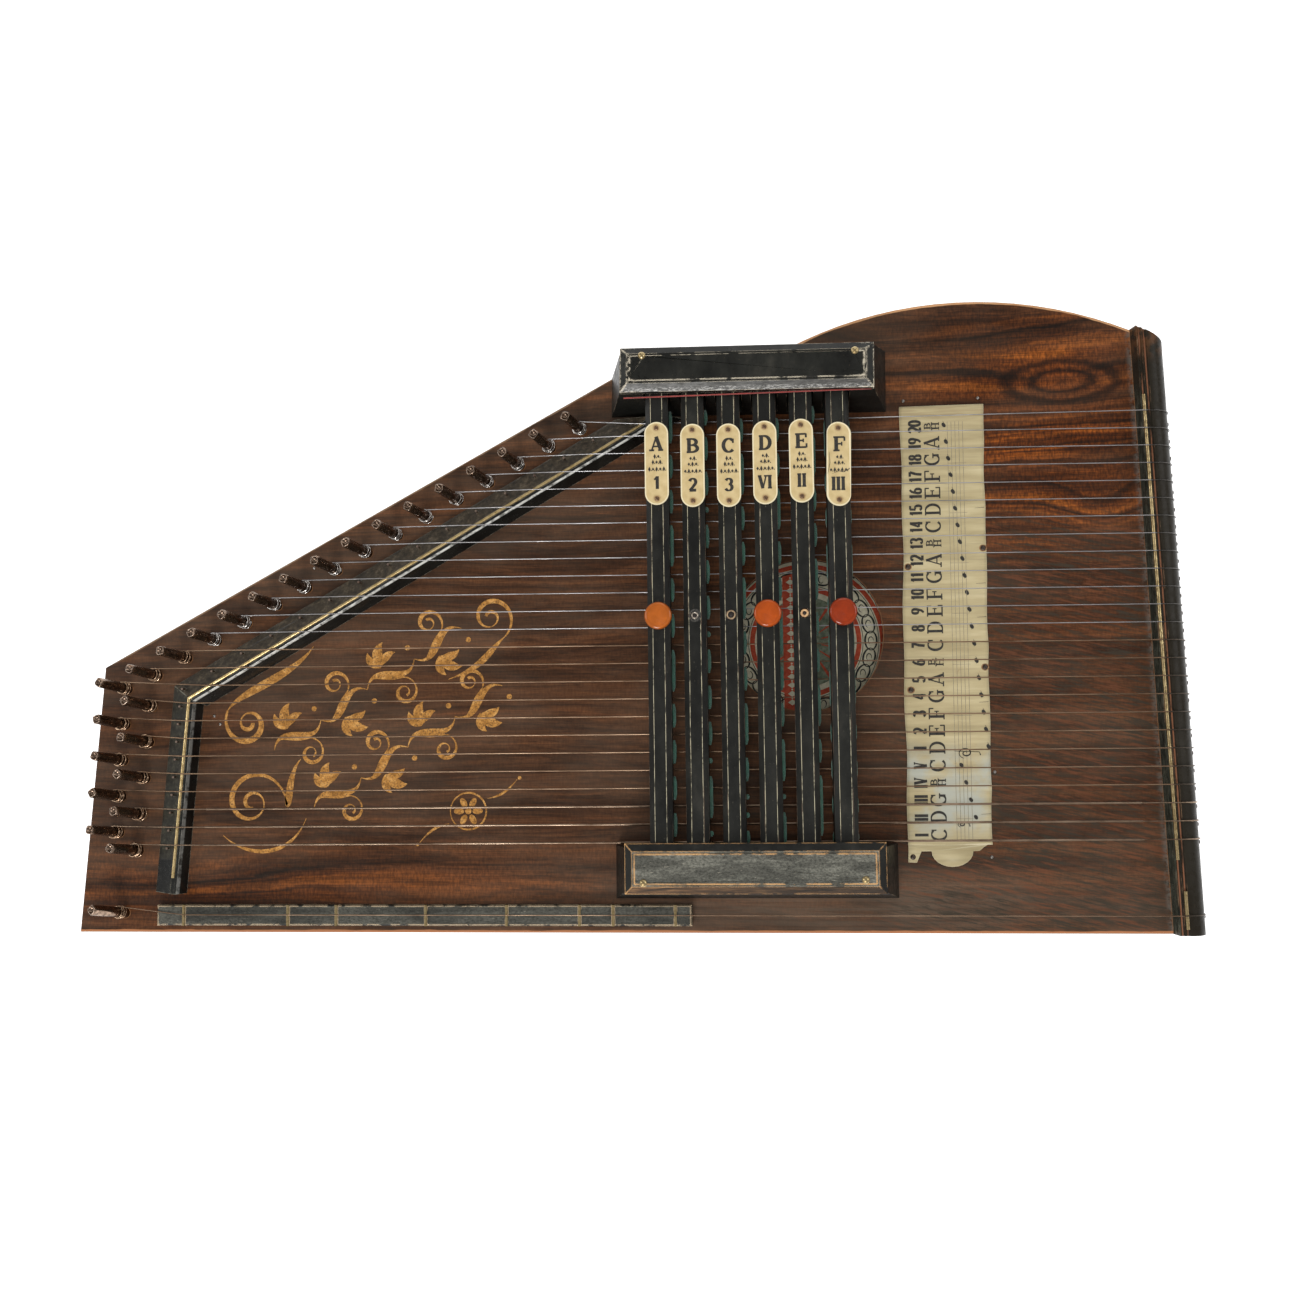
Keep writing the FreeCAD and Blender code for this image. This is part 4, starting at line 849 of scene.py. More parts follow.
def stem(x, low=0, high=1, share=1.0):
    """Upright stroke of an index mark."""
    return share, [(x, low), (x, high)]


def foot(centre, height, reach=0.2):
    """Slab serif."""
    return flat(height, centre - reach, centre + reach)


# Index marks as strokes in a unit box: share of the full weight, then points.
MARKS = {
    "A": [(0.45, [(0.13, 0), (0.5, 1)]), (1.0, [(0.48, 1), (0.86, 0)]), flat(0.3, 0.26, 0.74, 0.45),
          foot(0.13, 0.03), foot(0.84, 0.03)],
    "B": [stem(0.25), flat(0.97, 0.06, 0.5), flat(0.03, 0.06, 0.55),
          (1.0, arc(0.45, 0.745, 0.36, 0.225, 90, -90)), (1.0, arc(0.48, 0.28, 0.42, 0.25, 90, -90)),
          flat(0.525, 0.25, 0.5, 0.45)],
    "C": [(1.0, arc(0.54, 0.5, 0.42, 0.47, 48, 318, 20)), stem(0.86, 0.66, 0.97, 0.5)],
    "D": [stem(0.25), flat(0.97, 0.06, 0.5), flat(0.03, 0.06, 0.5),
          (1.0, arc(0.46, 0.5, 0.45, 0.47, 90, -90))],
    "E": [stem(0.27), flat(0.97, 0.06, 0.88), flat(0.03, 0.06, 0.92),
          flat(0.51, 0.27, 0.68, 0.45), stem(0.88, 1.0, 0.72, 0.5), stem(0.92, 0, 0.3, 0.5),
          stem(0.68, 0.38, 0.64, 0.4)],
    "F": [stem(0.27), flat(0.97, 0.06, 0.9), foot(0.28, 0.03, 0.24), flat(0.5, 0.27, 0.68, 0.45),
          stem(0.9, 1.0, 0.7, 0.5), stem(0.68, 0.36, 0.64, 0.4)],
    "G": [(1.0, arc(0.54, 0.5, 0.42, 0.47, 48, 322, 20)), stem(0.86, 0.68, 0.97, 0.5),
          stem(0.84, 0.04, 0.42, 0.9), foot(0.82, 0.42)],
    "H": [stem(0.22), stem(0.78), flat(0.5, 0.22, 0.78, 0.45), foot(0.22, 0.03), foot(0.78, 0.03),
          foot(0.22, 0.97), foot(0.78, 0.97)],
    "I": [stem(0.5), foot(0.5, 0.03, 0.42), foot(0.5, 0.97, 0.42)],
    "V": [(1.0, [(0.14, 1), (0.5, 0)]), (0.45, [(0.52, 0), (0.86, 1)]), foot(0.16, 0.97), foot(0.84, 0.97)],
    "0": [(1.0, arc(0.5, 0.5, 0.38, 0.46, 0, 360, 24))],
    "1": [stem(0.56), (0.6, [(0.56, 0.96), (0.2, 0.74)])],
    "2": [(1.0, arc(0.5, 0.7, 0.36, 0.27, 165, -25) + [(0.5, 0.3), (0.14, 0.05)]), flat(0.06, 0.1, 0.9, 0.9)],
    "3": [(1.0, arc(0.48, 0.745, 0.34, 0.22, 160, -90)), (1.0, arc(0.48, 0.28, 0.38, 0.25, 90, -160))],
    "4": [stem(0.7, 0, 1, 0.9), (0.7, [(0.66, 0.98), (0.1, 0.3)]), flat(0.28, 0.06, 0.96, 0.75)],
    "5": [flat(0.95, 0.2, 0.84, 0.8), (0.8, [(0.22, 0.98), (0.17, 0.52)]),
          (1.0, arc(0.47, 0.31, 0.38, 0.27, 130, -155, 16))],
    "6": [(1.0, arc(0.5, 0.3, 0.36, 0.26, 0, 360, 20)),
          (0.9, [(0.7, 0.97), (0.36, 0.78), (0.2, 0.5), (0.15, 0.3)])],
    "7": [flat(0.94, 0.1, 0.9, 0.85), (0.95, [(0.86, 0.94), (0.52, 0.45), (0.42, 0)])],
    "8": [(0.95, arc(0.5, 0.75, 0.30, 0.21, 0, 360, 18)), (1.0, arc(0.5, 0.27, 0.37, 0.25, 0, 360, 20))],
    "9": [(1.0, arc(0.5, 0.7, 0.36, 0.26, 0, 360, 20)),
          (0.9, [(0.3, 0.03), (0.64, 0.22), (0.8, 0.5), (0.85, 0.7)])],
}


# ---------------------------------------------------------------- soundbox and mouldings
def dress(node, material, soft=None):
    """Gives a CAD node its material and, if asked, small rounded arrises."""
    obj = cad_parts[node]
    obj.data.materials.clear()
    obj.data.materials.append(material)
    if soft:
        soften(obj, soft)


def dress_soundbox():
    """Finishes of the CAD nodes, and a thin felt piping under the upper cover."""
    rim = timber("rim_wood", (0.020, 0.009, 0.006), (0.075, 0.032, 0.018), (0.015, 0.02, 0.8),
                 wear=(0.14, 0.07, 0.035))
    back = timber("back_wood", (0.016, 0.009, 0.006), (0.055, 0.028, 0.016), wear=(0.28, 0.16, 0.08))
    inner = timber("spruce", (0.36, 0.22, 0.11), (0.58, 0.40, 0.22), (0.5, 0.02, 0.5))
    dress("soundboard", rosewood())
    for node in ("front_rail", "bout_rail", "pin_block", "hitch_block"):
        dress(node, rim)
    dress("back_board", back, 0.6)
    dress("soundboard_braces", inner)
    dress("feet", ebonised("foot_black", gloss=(0.35, 0.5)))
    diagonal = math.atan2(NUT_END[1] - NUT_CORNER[1], NUT_END[0] - NUT_CORNER[0])
    dress("left_nut", nut_black("left_nut_black", (-0.997, 0.075), (0.024, 0.022, 0.015), 0.25), 0.3)
    outward = (-math.sin(diagonal), math.cos(diagonal))
    dress("diagonal_nut", nut_black("diagonal_nut_black", outward, (0.040, 0.031, 0.020), 0.9), 0.3)
    dress("tail_moulding", tail_black(), 0.25)
    brass = metal("aged_brass", (0.24, 0.165, 0.075), (0.56, 0.44, 0.23), (0.26, 0.45))
    iron = metal("dark_iron", (0.035, 0.024, 0.018), (0.16, 0.13, 0.11), (0.3, 0.6))
    for node in ("tail_wires", "frets", "cover_nails"):
        dress(node, brass)
    dress("nut_wire", metal("bright_brass", (0.46, 0.32, 0.13), (0.90, 0.70, 0.36), (0.26, 0.4)))
    dress("guide_nails", metal("guide_nail_steel", (0.11, 0.055, 0.035), (0.55, 0.42, 0.34), (0.2, 0.4), 1.5))
    dress("hitch_pins", iron)
    dress("fretboard", ebonised("fretboard_black", (0.54, 0.41, 0.26), 0.8, (0.40, 0.50), (0.35, 0.5), 0.36))
    covers = ebonised("cover_black", wear=(0.68, 0.60, 0.46), edge=0.55, amount=(0.41, 0.51),
                      chipped="upper_holder_cover")
    holders = ebonised("holder_black", wear=(0.17, 0.13, 0.09), edge=0.5, amount=(0.5, 0.6), gloss=(0.3, 0.5))
    dulled = ebonised("dulled_cover", wear=(0.66, 0.37, 0.15), edge=0.85, amount=(0.40, 0.53),
                      gloss=(0.4, 0.6), film=0.78, rubbed_from=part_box("lower_holder_cover")[0].x / MM)
    dress("upper_holder_cover", covers, 0.35)
    dress("lower_holder_cover", dulled, 0.35)
    for half in ("upper", "lower"):
        dress(half + "_bar_holder", holders, 0.3)
    dress("stop_felts", felt("red_felt", (0.20, 0.012, 0.010), (0.42, 0.035, 0.025)))
    low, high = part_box("upper_holder_cover")
    ends = (low.x + 1.5 * MM, (low.x + high.x) / 2, high.x - 1.5 * MM)
    under_lip = [Vector((x, low.y + 0.15 * MM, low.z - 0.12 * MM)) for x in ends]
    dark_felt = felt("dark_red_felt", (0.14, 0.012, 0.008), (0.38, 0.038, 0.026))
    wire("felt_piping", under_lip, 0.36, dark_felt, ROOT)
    bars = bar_black()
    for number in BARS:
        dress("chord_bar_%d" % number, bars, 0.25)
    return iron


# ---------------------------------------------------------------- tuning pins and strings
def pin_axis(lean):
    """Direction of a tuning pin that leans by an angle in degrees."""
    tilt, azimuth = math.radians(lean), math.radians(PIN_AZIMUTH)
    return Vector((math.sin(tilt) * math.cos(azimuth), math.sin(tilt) * math.sin(azimuth), math.cos(tilt)))


def string_y(string, x):
    """Plan y of a string at an x, on its straight run from nut to tail."""
    share = (x - NUT_X) / (side_x(140) - TAIL_WIRE_INSET - NUT_X)
    at_nut = NUT_FIRST_Y + NUT_SPACING * string
    return at_nut + (TAIL_FIRST_Y + TAIL_SPACING * string - at_nut) * share


def side_x(y):
    """Plan x of the right-hand side, which leans a little."""
    return FRONT_LENGTH + SIDE_LEAN * y


def pin_place(string):
    """The left group stands in two staggered columns, the rest follow the diagonal."""
    if string < 10:
        x = 28.6 + 0.7 * string if string % 2 == 0 else 17.8 + 0.37 * string
        return x, 40.4 + 8.9 * string
    x = 36.6 + 15.36 * (string - 10)
    return x, string_y(string, x) - 2.6


def on_nut(string):
    """Plan place where a string crosses the nut wire."""
    if string == STRINGS - 1:
        slope = (NUT_END[0] - NUT_CORNER[0]) / (NUT_END[1] - NUT_CORNER[1])
        return NUT_CORNER[0] + (TOP_STRING_NUT_Y - NUT_CORNER[1]) * slope, TOP_STRING_NUT_Y
    on_leg = string_y(string, NUT_CORNER[0]) < NUT_CORNER[1]
    start, end = (NUT_START, NUT_CORNER) if on_leg else (NUT_CORNER, NUT_END)
    low, high = 0.0, 1.0
    for _ in range(30):
        share = (low + high) / 2
        x = start[0] + (end[0] - start[0]) * share
        y = start[1] + (end[1] - start[1]) * share
        low, high = (share, high) if y < string_y(string, x) else (low, share)
    return x, y


def build_pins(steel):
    """Tuning pins: round blued shanks with squared, slightly dished heads."""
    foot_depth, shank_top = -9.0, 12.0 - PIN_COIL_HEIGHT
    head = ((PIN_RADIUS, -0.8), (2.42, 0.0), (2.25, 1.1), (2.15, 6.4), (2.12, 8.4), (1.98, 8.7), (1.78, 8.8),
            (1.55, 8.5), (1.25, 7.4), (0.4, 7.0))
    profile = [(PIN_RADIUS, foot_depth)] + [(radius, shank_top + rise) for radius, rise in head]
    squareness = [2, 2, 2.2, 3.4, 4.0, 4.0, 3.6, 3.2, 2.8, 2.4, 2]
    vertices, faces = rings_mesh(turned_rings(profile, 32, squareness))
    for string in range(-1, STRINGS):
        melody = string < 0
        lean = MELODY_PIN_LEAN if melody else PIN_LEAN
        x, y = MELODY_PIN if melody else pin_place(string)
        turn = pin_axis(lean).to_track_quat("Z", "Y").to_matrix().to_4x4()
        spin = Matrix.Rotation(1.9 * string, 4, "Z")
        at = Matrix.Translation(plan(x, y, PIN_COIL_HEIGHT)) @ turn @ spin
        name = "melody_pin_detail" if melody else "tuning_pin_%02d" % (string + 1)
        pin = mesh_piece(name, vertices, faces, steel, "melody_pin" if melody else ROOT, "pin_steel", at=at)
        if string in (-1, 0, 10):
            node = {-1: "melody_tuning_pin", 0: "tuning_pins_left", 10: "tuning_pins_diagonal"}[string]
            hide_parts(node)


def coil_points(plan_place, lean, radius, turns, pitch, seed):
    """Turns of string round a tuning pin, from the loose end up to the place where the string leaves."""
    draw = random.Random(seed)
    axis = pin_axis(lean)
    first = (Vector((1, 0, 0)) - axis * axis.x).normalized()
    second = axis.cross(first)
    centre = plan(*plan_place, PIN_COIL_HEIGHT)
    points = []
    steps = int(turns * 20)
    loose = draw.uniform(0.25, 0.6)
    for step in range(steps + 1):
        left = turns - step / 20
        angle = math.pi / 2 + 2 * math.pi * left
        rise = 0.6 - pitch * left + 0.25 * math.sin(angle * 1.5 + seed)
        slack = loose * (0.5 + 0.5 * math.sin(left * 2.1 + seed)) * min(1.0, left * 2)
        reach = (PIN_RADIUS + radius + slack) * MM
        out = first * math.cos(angle) + second * math.sin(angle)
        points.append(centre + axis * rise * MM + out * reach)
    return points


def tail_points(y, wire_inset, lift, radius):
    """From the tail wire over the rounded shoulder and down to the hitch pin."""
    x = side_x(y)
    reach = TAIL_ROUND + radius + 0.15
    points = [plan(x - wire_inset, y, lift)]
    for angle in range(78, -1, -6):
        out, up = polar(reach, math.radians(angle))
        points.append(plan(x - TAIL_ROUND + out, y, TAIL_TOP - TAIL_ROUND + up))
    points.append(plan(x + radius + 0.25, y, -HITCH_DROP + 4.5))
    return points


def hitch_loop(y, radius):
    """The string's end: it meets the hitch pin and closes round it in a loop."""
    x = side_x(y) + radius + 0.25
    pin_y = y - 2.4
    reach = HITCH_RADIUS + radius
    points = []
    for angle in range(20, -331, -25):
        out, up = polar(reach, math.radians(angle))
        points.append(plan(x, pin_y + out, -HITCH_DROP + up))
    points.append(plan(x, y - 0.35, -HITCH_DROP + 3.2))
    return points


def winding(name, start, end, core, outer, material):
    """Close copper winding: a skin of small ridges along the wound part of a bass string."""
    run = end - start
    side = Vector((-run.y, run.x, 0)).normalized()
    up = run.normalized().cross(side)
    ridges = int(run.length / MM / 0.62)
    rings = []
    for row in range(2 * ridges + 1):
        radius = (core if row in (0, 2 * ridges) else outer - (0.14 if row % 2 else 0.0)) * MM
        centre = start + run * row / (2 * ridges)
        rings.append([centre + (side * math.cos(math.pi * i / 4) + up * math.sin(math.pi * i / 4)) * radius
                      for i in range(8)])
    vertices, faces = rings_mesh(rings)
    return mesh_piece(name, vertices, faces, material, ROOT, "wound_wire")


def string_kind(string):
    """Wound basses come first, then bronze strings, then steel."""
    return "wound" if string < WOUND else "bronze" if string < WOUND + BRONZE else "steel"


def build_strings():
    """Each string in one wire from its coil over nut and tail to the hitch loop, and its coil beside it."""
    steel = metal("string_steel", (0.24, 0.23, 0.23), (0.68, 0.67, 0.68), (0.3, 0.42), 0.03, 0,
                  dull_tail=True)
    bronze = metal("string_bronze", (0.15, 0.090, 0.055), (0.43, 0.29, 0.19), (0.35, 0.5), 0.03, 0,
                   dull_tail=True)
    copper = metal("wound_copper", (0.13, 0.083, 0.055), (0.40, 0.29, 0.205), (0.3, 0.42), 0.05, 0)
    finishes = {"steel": steel, "bronze": bronze, "wound": copper}
    rusty = metal("rusty_coil", (0.20, 0.105, 0.058), (0.78, 0.56, 0.38), (0.22, 0.36), 0.5, 0)
    shiny = metal("steel_coil", (0.26, 0.22, 0.19), (0.95, 0.92, 0.88), (0.14, 0.28), 0.8, 0)
    for string in range(STRINGS):
        kind = string_kind(string)
        core = min(RADII[kind], RADII["bronze"])
        pin = pin_place(string)
        pitch = 2 * core + 0.42 + 0.12 * (string * 7 % 3)
        coil = coil_points(pin, PIN_LEAN, core, 3.7 / pitch, pitch, string)
        tail_y = TAIL_FIRST_Y + TAIL_SPACING * string
        over_nut = plan(*on_nut(string), STRING_LIFT)
        run_end = tail_points(tail_y, TAIL_WIRE_INSET, STRING_LIFT, core)
        label = "%02d" % (string + 1)
        piece = wire("string_" + label, [coil[-1], over_nut] + run_end + hitch_loop(tail_y, core), core,
                     finishes[kind], ROOT)
        wire("pin_coil_" + label, coil, core, shiny if kind == "steel" else rusty, ROOT)
        if string in (0, WOUND, WOUND + BRONZE):
            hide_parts("strings_" + kind)
        if kind == "wound":
            bare = (run_end[0] - over_nut).normalized() * 14 * MM
            winding("winding_" + label, over_nut + bare, run_end[0] - bare, core, RADII["wound"], copper)
    build_melody_string(bronze, rusty)


def build_melody_string(finish, rusty):
    """The lowest string, over the fretboard; its coil rides on its tuning pin."""
    radius = RADII["steel"]
    coil = coil_points(MELODY_PIN, MELODY_PIN_LEAN, radius, 4.0, 0.75, 99)
    wire("melody_pin_coil", coil, radius, rusty, "melody_pin")
    run = [coil[-1], plan(FRET_ZERO_X, MELODY_Y, MELODY_LIFT)]
    run += tail_points(MELODY_Y, MELODY_WIRE_INSET, STRING_LIFT, radius) + hitch_loop(MELODY_Y, radius)
    wire("melody_string", run, radius, finish, ROOT)


# ---------------------------------------------------------------- chord bars
def bar_lean(number):
    """One bar sits tipped in its slots."""
    if number != TIPPED_BAR:
        return Matrix.Identity(4)
    low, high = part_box("chord_bar_%d" % number)
    about = Matrix.Translation((low + high) / 2)
    return about @ Matrix.Rotation(math.radians(TIP_ANGLE), 4, "Y") @ about.inverted()


def felt_spans(number):
    """Start and end, along the bar, of each felt pad in a CAD felt node."""
    ys = sorted({round(v.co.y, 5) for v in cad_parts["bar_felts_%d" % number].data.vertices})
    return list(zip(ys[::2], ys[1::2]))


def build_felts(number, material):
    """Felt pads under a bar: soft-edged blocks with an uneven, fuzzy skin."""
    draw = random.Random(40 + number)
    low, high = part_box("bar_felts_%d" % number)
    upright = bar_lean(number)
    centre_x = (low.x + high.x) / 2
    half = FELT_HALF_WIDTH * MM
    bottom, top = BOARD_Z + FELT_BOTTOM * MM, BOARD_Z + FELT_TOP * MM
    section = ((-1, 0.12), (-0.8, 0), (-0.3, 0), (0.3, 0), (0.8, 0), (1, 0.12), (1, 0.55), (1, 1), (-1, 1),
               (-1, 0.55))
    pads = []
    for start, end in felt_spans(number):
        rows = max(3, int((end - start) / (2.2 * MM)))
        rings = []
        for row in range(rows + 1):
            y = start + (end - start) * row / rows
            tuck = 0.55 * MM if row in (0, rows) else 0.0
            ring = []
            for across, height in section:
                fuzz = draw.uniform(-0.12, 0.0) * MM if height < 1 else 0.0
                x = centre_x + across * (half + fuzz) - math.copysign(tuck, across)
                z = bottom + (top - bottom) * height + (tuck if height < 0.2 else 0.0) - fuzz * 0.8
                ring.append(upright @ Vector((x, y, z)))
            rings.append(ring)
        pads.append(rings)
    body = "bar_%d" % number
    piece = mesh_piece("felt_pads_%d" % number, *joined_rings(pads), material, body, "green_felt")
    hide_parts("bar_felts_%d" % number)


def stadium(width, length):
    """Outline of a round-ended plate, about its middle."""
    radius, reach = width / 2, (length - width) / 2
    return arc(0, reach, radius, radius, 0, 180) + arc(0, -reach, radius, radius, 180, 360)


def build_label(number, plate_paint, ink_paint, pin_paint):
    """Celluloid label with a raised rim, its two marks and its two rusty pins."""
    body = "bar_%d" % number
    x, y = middle("chord_bar_%d" % number)[0], middle("chord_label_%d" % number)[1]
    at = bar_lean(number) @ Matrix.Translation(plan(x, y, BAR_TOP + 0.02))
    sway = 0.45 if number == TIPPED_BAR else 0.0

    def on_label(u, v, height=0.0):
        return Vector((u + sway * math.sin(v / 6.0), v, height)) * MM

    rings = []
    for shrink, height in ((0.0, 0.0), (0.0, 0.62), (0.12, 0.74), (0.5, 0.74), (0.66, 0.62), (3.0, 0.6)):
        outline = stadium(LABEL_WIDTH - 2 * shrink, LABEL_LENGTH - 2 * shrink)
        rings.append([on_label(u, v, height) for u, v in outline])
    skin = rings_mesh(rings)
    plate = mesh_piece("label_plate_%d" % number, *skin, plate_paint, body, "celluloid", False, at)
    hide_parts("chord_label_%d" % number)
    ink = Ink(lambda u, v: at @ on_label(u, v, 0.68))
    letter, numeral = CHORD_MARKS[number - 1]
    ink.glyph(letter, 0, 9.3, 6.0, 6.6, 1.75)
    widths = [{"V": 4.2, "I": 2.2}.get(mark, 3.9) for mark in numeral]
    start = -sum(widths) / 2
    for mark, width in zip(numeral, widths):
        ink.glyph(mark, start + width / 2, -9.2, width, 6.0, 1.5)
        start += width
    for v, count in ((3.2, 2), (0.5, 3), (-2.8, 5)):
        for step in range(count):
            u = (step - (count - 1) / 2) * 1.7
            tall = 1.25 if (step + number) % 2 else 0.8
            ink.polygon([(u - 0.6, v), (u, v - tall), (u + 0.6, v), (u, v + tall)])
            ink.disc(u + 0.85, v - 0.6, 0.27, 8)
    if number == TIPPED_BAR:
        ink.stroke([(5.3, -2.2), (2.4, -3.9), (0.2, -3.4), (-2.8, -4.6)], [0.5, 0.3, 0.22, 0.1])
        ink.stroke([(-4.6, 5.5), (-4.1, 0.5), (-4.9, -5.0)], [0.12, 0.3, 0.12])
    ink.piece("label_marks_%d" % number, ink_paint, body, "celluloid")
    head = [(1.05, 0.62), (1.0, 0.8), (0.75, 0.95), (0.3, 1.02)]
    pin_reach = LABEL_LENGTH / 2 - LABEL_PIN_INSET
    for end, v in (("back", pin_reach), ("front", -pin_reach)):
        spot = at @ Matrix.Translation(on_label(0, v))
        lathe("label_pin_%d_%s" % (number, end), head, spot, pin_paint, body, "iron_nail", 20)


def build_buttons():
    """Three orange finger buttons, and what is left of the three that are gone."""
    amber = resin("amber_resin", (0.42, 0.100, 0.009))
    orange = resin("orange_resin", (0.40, 0.064, 0.003))
    russet = resin("russet_resin", (0.27, 0.028, 0.002))
    profile = [(2.0, 0.0), (2.0, 1.5), (5.6, 1.6), (6.2, 1.9), (BUTTON_RADIUS, 2.4), (BUTTON_RADIUS, 2.9),
               (6.3, 3.3), (6.1, 3.65), (5.8, 3.92), (5.4, 4.1), (5.0, 4.18), (4.6, 4.2), (4.2, 4.26),
               (3.2, 4.48), (2.0, 4.66), (1.0, 4.74), (0.3, 4.76)]
    for number, finish in ((1, amber), (4, orange), (6, russet)):
        lean = TIP_ANGLE if number == TIPPED_BAR else 0
        place = Matrix.Translation(plan(*middle("button_%d" % number), BAR_TOP))
        at = place @ Matrix.Rotation(math.radians(lean), 4, "Y")
        piece = lathe("button_cap_%d" % number, profile, at, finish, "bar_%d" % number, "orange_resin", 64)
        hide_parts("button_%d" % number)
    button_y = middle("button_1")[1]
    glue = printed("old_glue", (0.012, 0.011, 0.010), (0.07, 0.066, 0.058), 1.2, 0.25)
    stub = metal("broken_stub", (0.3, 0.22, 0.15), (0.8, 0.72, 0.62), (0.2, 0.4), 1.5)
    bone = printed("broken_stem", (0.16, 0.10, 0.055), (0.46, 0.33, 0.19), 1.2, 0.5)
    stem_resin = printed("broken_resin", (0.30, 0.12, 0.04), (0.62, 0.42, 0.22), 1.2, 0.4)
    painted_hole_shade = printed("socket_painted_shade", (0.006, 0.004, 0.003), (0.020, 0.012, 0.008), 1.2, 0.6)
    stubs = ((2, stub, 1.0, 1.7, 0.5), (3, bone, 1.5, 2.1, 0.3), (5, stem_resin, 0.9, 1.9, 0.5))
    for number, finish, inner, outer, rise in stubs:
        at = Matrix.Translation(plan(middle("chord_bar_%d" % number)[0], button_y, BAR_TOP))
        collar = [(outer, -1.6), (outer, 0.1), (outer - 0.15, rise * 0.7), ((outer + inner) / 2, rise),
                  (inner, rise * 0.6), (inner - 0.1, -1.2), (0.2, -1.5)]
        lathe("button_stub_%d" % number, collar, at, finish, "bar_%d" % number, "celluloid", 28)
        # A black-lined funnel in each empty hole: painted shade.
        socket = [(inner + 0.03, rise * 0.55), (inner * 0.8, -0.6), (0.2, -1.0)]
        lathe("button_socket_%d" % number, socket, at, painted_hole_shade, "bar_%d" % number, "ebonised_wood", 28)
    x = middle("chord_bar_2")[0]
    ink = Ink(lambda u, v: plan(x + u, button_y + v, BAR_TOP + 0.05))
    ink.ring(0, 0, 2.95, 2.3, 40, 0.3)
    ink.ring(0, 0.1, 2.2, 1.8, 40, 0.3)
    ink.piece("glue_ring_2", glue, "bar_2", "ebonised_wood")


def build_springs(material):
    """A compression coil under each end of each bar, built at the CAD spring's length on a mesh of its own.
    """
    turns, steps, wire_radius = 5, 16, 0.33 * MM
    inset = 0.35 * MM
    upward = Vector((0, 0, 1))
    for number in BARS:
        low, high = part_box("bar_springs_%d" % number)
        x = (low.x + high.x) / 2
        reach = (high.x - low.x) / 2 - inset
        coils = []
        for y in (low.y + reach + inset, high.y - reach - inset):
            rings = []
            for step in range(turns * steps + 1):
                out = polar(1, 2 * math.pi * step / steps).to_3d()
                rise = low.z + inset + (high.z - low.z - 2 * inset) * step / (turns * steps)
                section = [polar(wire_radius, math.pi * i / 3) for i in range(6)]
                rings.append([Vector((x, y, rise)) + out * (reach + u) + upward * v for u, v in section])
            coils.append(rings)
        piece = mesh_piece("bar_coils_%d" % number, *joined_rings(coils), material, ROOT, "string_steel")
        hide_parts("bar_springs_%d" % number)
        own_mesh(piece)


# ---------------------------------------------------------------- note card
CARD_LEFT, CARD_FRONT, CARD_LEAN = 404.9, 40.8, 0.0101
CARD_WIDTH, CARD_LENGTH = 39.1, 208.0
MARK_FIRST, MARK_PITCH = 4.6, 8.06
NOTE_LETTERS = "CDGHCDEFGAHCDEFGAHCDEFGAH"
BASS_MARKS = ("I", "II", "III", "IV", "V")


def card_lift(across, up):
    """The card has gone wavy between its tacks."""
    wave = 0.16 * math.sin(up / 5.3 + across / 30) + 0.12 * math.sin(up / 3.1 + across / 9)
    return 0.62 + wave + 0.2 * math.sin(up / 17.0 + 1.0) * math.sin(across / 12 + 0.5)


def on_card(across, up, raise_by=0.0):
    """Place of a point on the wavy card, or a little above it."""
    x = CARD_LEFT + across + CARD_LEAN * up
    return plan(x, CARD_FRONT + up, card_lift(across, up) + raise_by)


def across_card(x, y):
    """How far across and up the card a plan place lies."""
    up = y - CARD_FRONT
    return x - CARD_LEFT - CARD_LEAN * up, up


def card_edge(up):
    """How far in the card's long edges are at a height: they are slightly uneven."""
    return 0.28 * (math.sin(up / 19.0) + math.sin(up / 7.3 + 2))


def build_card(paper, ink_paint, faded):
    """The card as one wavy sheet, with its tab at the front."""
    columns = 20
    rows = 150
    vertices, faces = [], []
    for row in range(rows + 1):
        up = CARD_LENGTH * row / rows
        for column in range(columns + 1):
            edge = card_edge(up)
            across = edge + (CARD_WIDTH - edge - abs(card_edge(up + 30))) * column / columns
            vertices.append(on_card(across, up))
    wide = columns + 1
    for row in range(rows):
        for column in range(columns):
            a = row * wide + column
            faces.append((a, a + 1, a + wide + 1, a + wide))
    lobe = [(0.4, 0), (0.3, -8.0), (4.2, -8.2), (6.3, -3.0), (10.5, -2.9)]
    lobe += arc(20.5, -3.0, 9.5, 7.2, 180, 360, 12)
    lobe += [(33.0, -2.8), (35.0, -1.0), (37.5, 0.4)]
    start = len(vertices)
    row_front = list(range(columns + 1))
    vertices += [on_card(across, up) for across, up in lobe]
    faces.append(tuple(row_front[::-1]) + tuple(range(start, len(vertices))))
    card = mesh_piece("wavy_card", vertices, faces, paper, ROOT, "card")
    thick = card.modifiers.new("thickness", "SOLIDIFY")
    thick.thickness = 0.28 * MM
    thick.offset = -1.0
    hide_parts("note_card")
    print_card(ink_paint, faded)


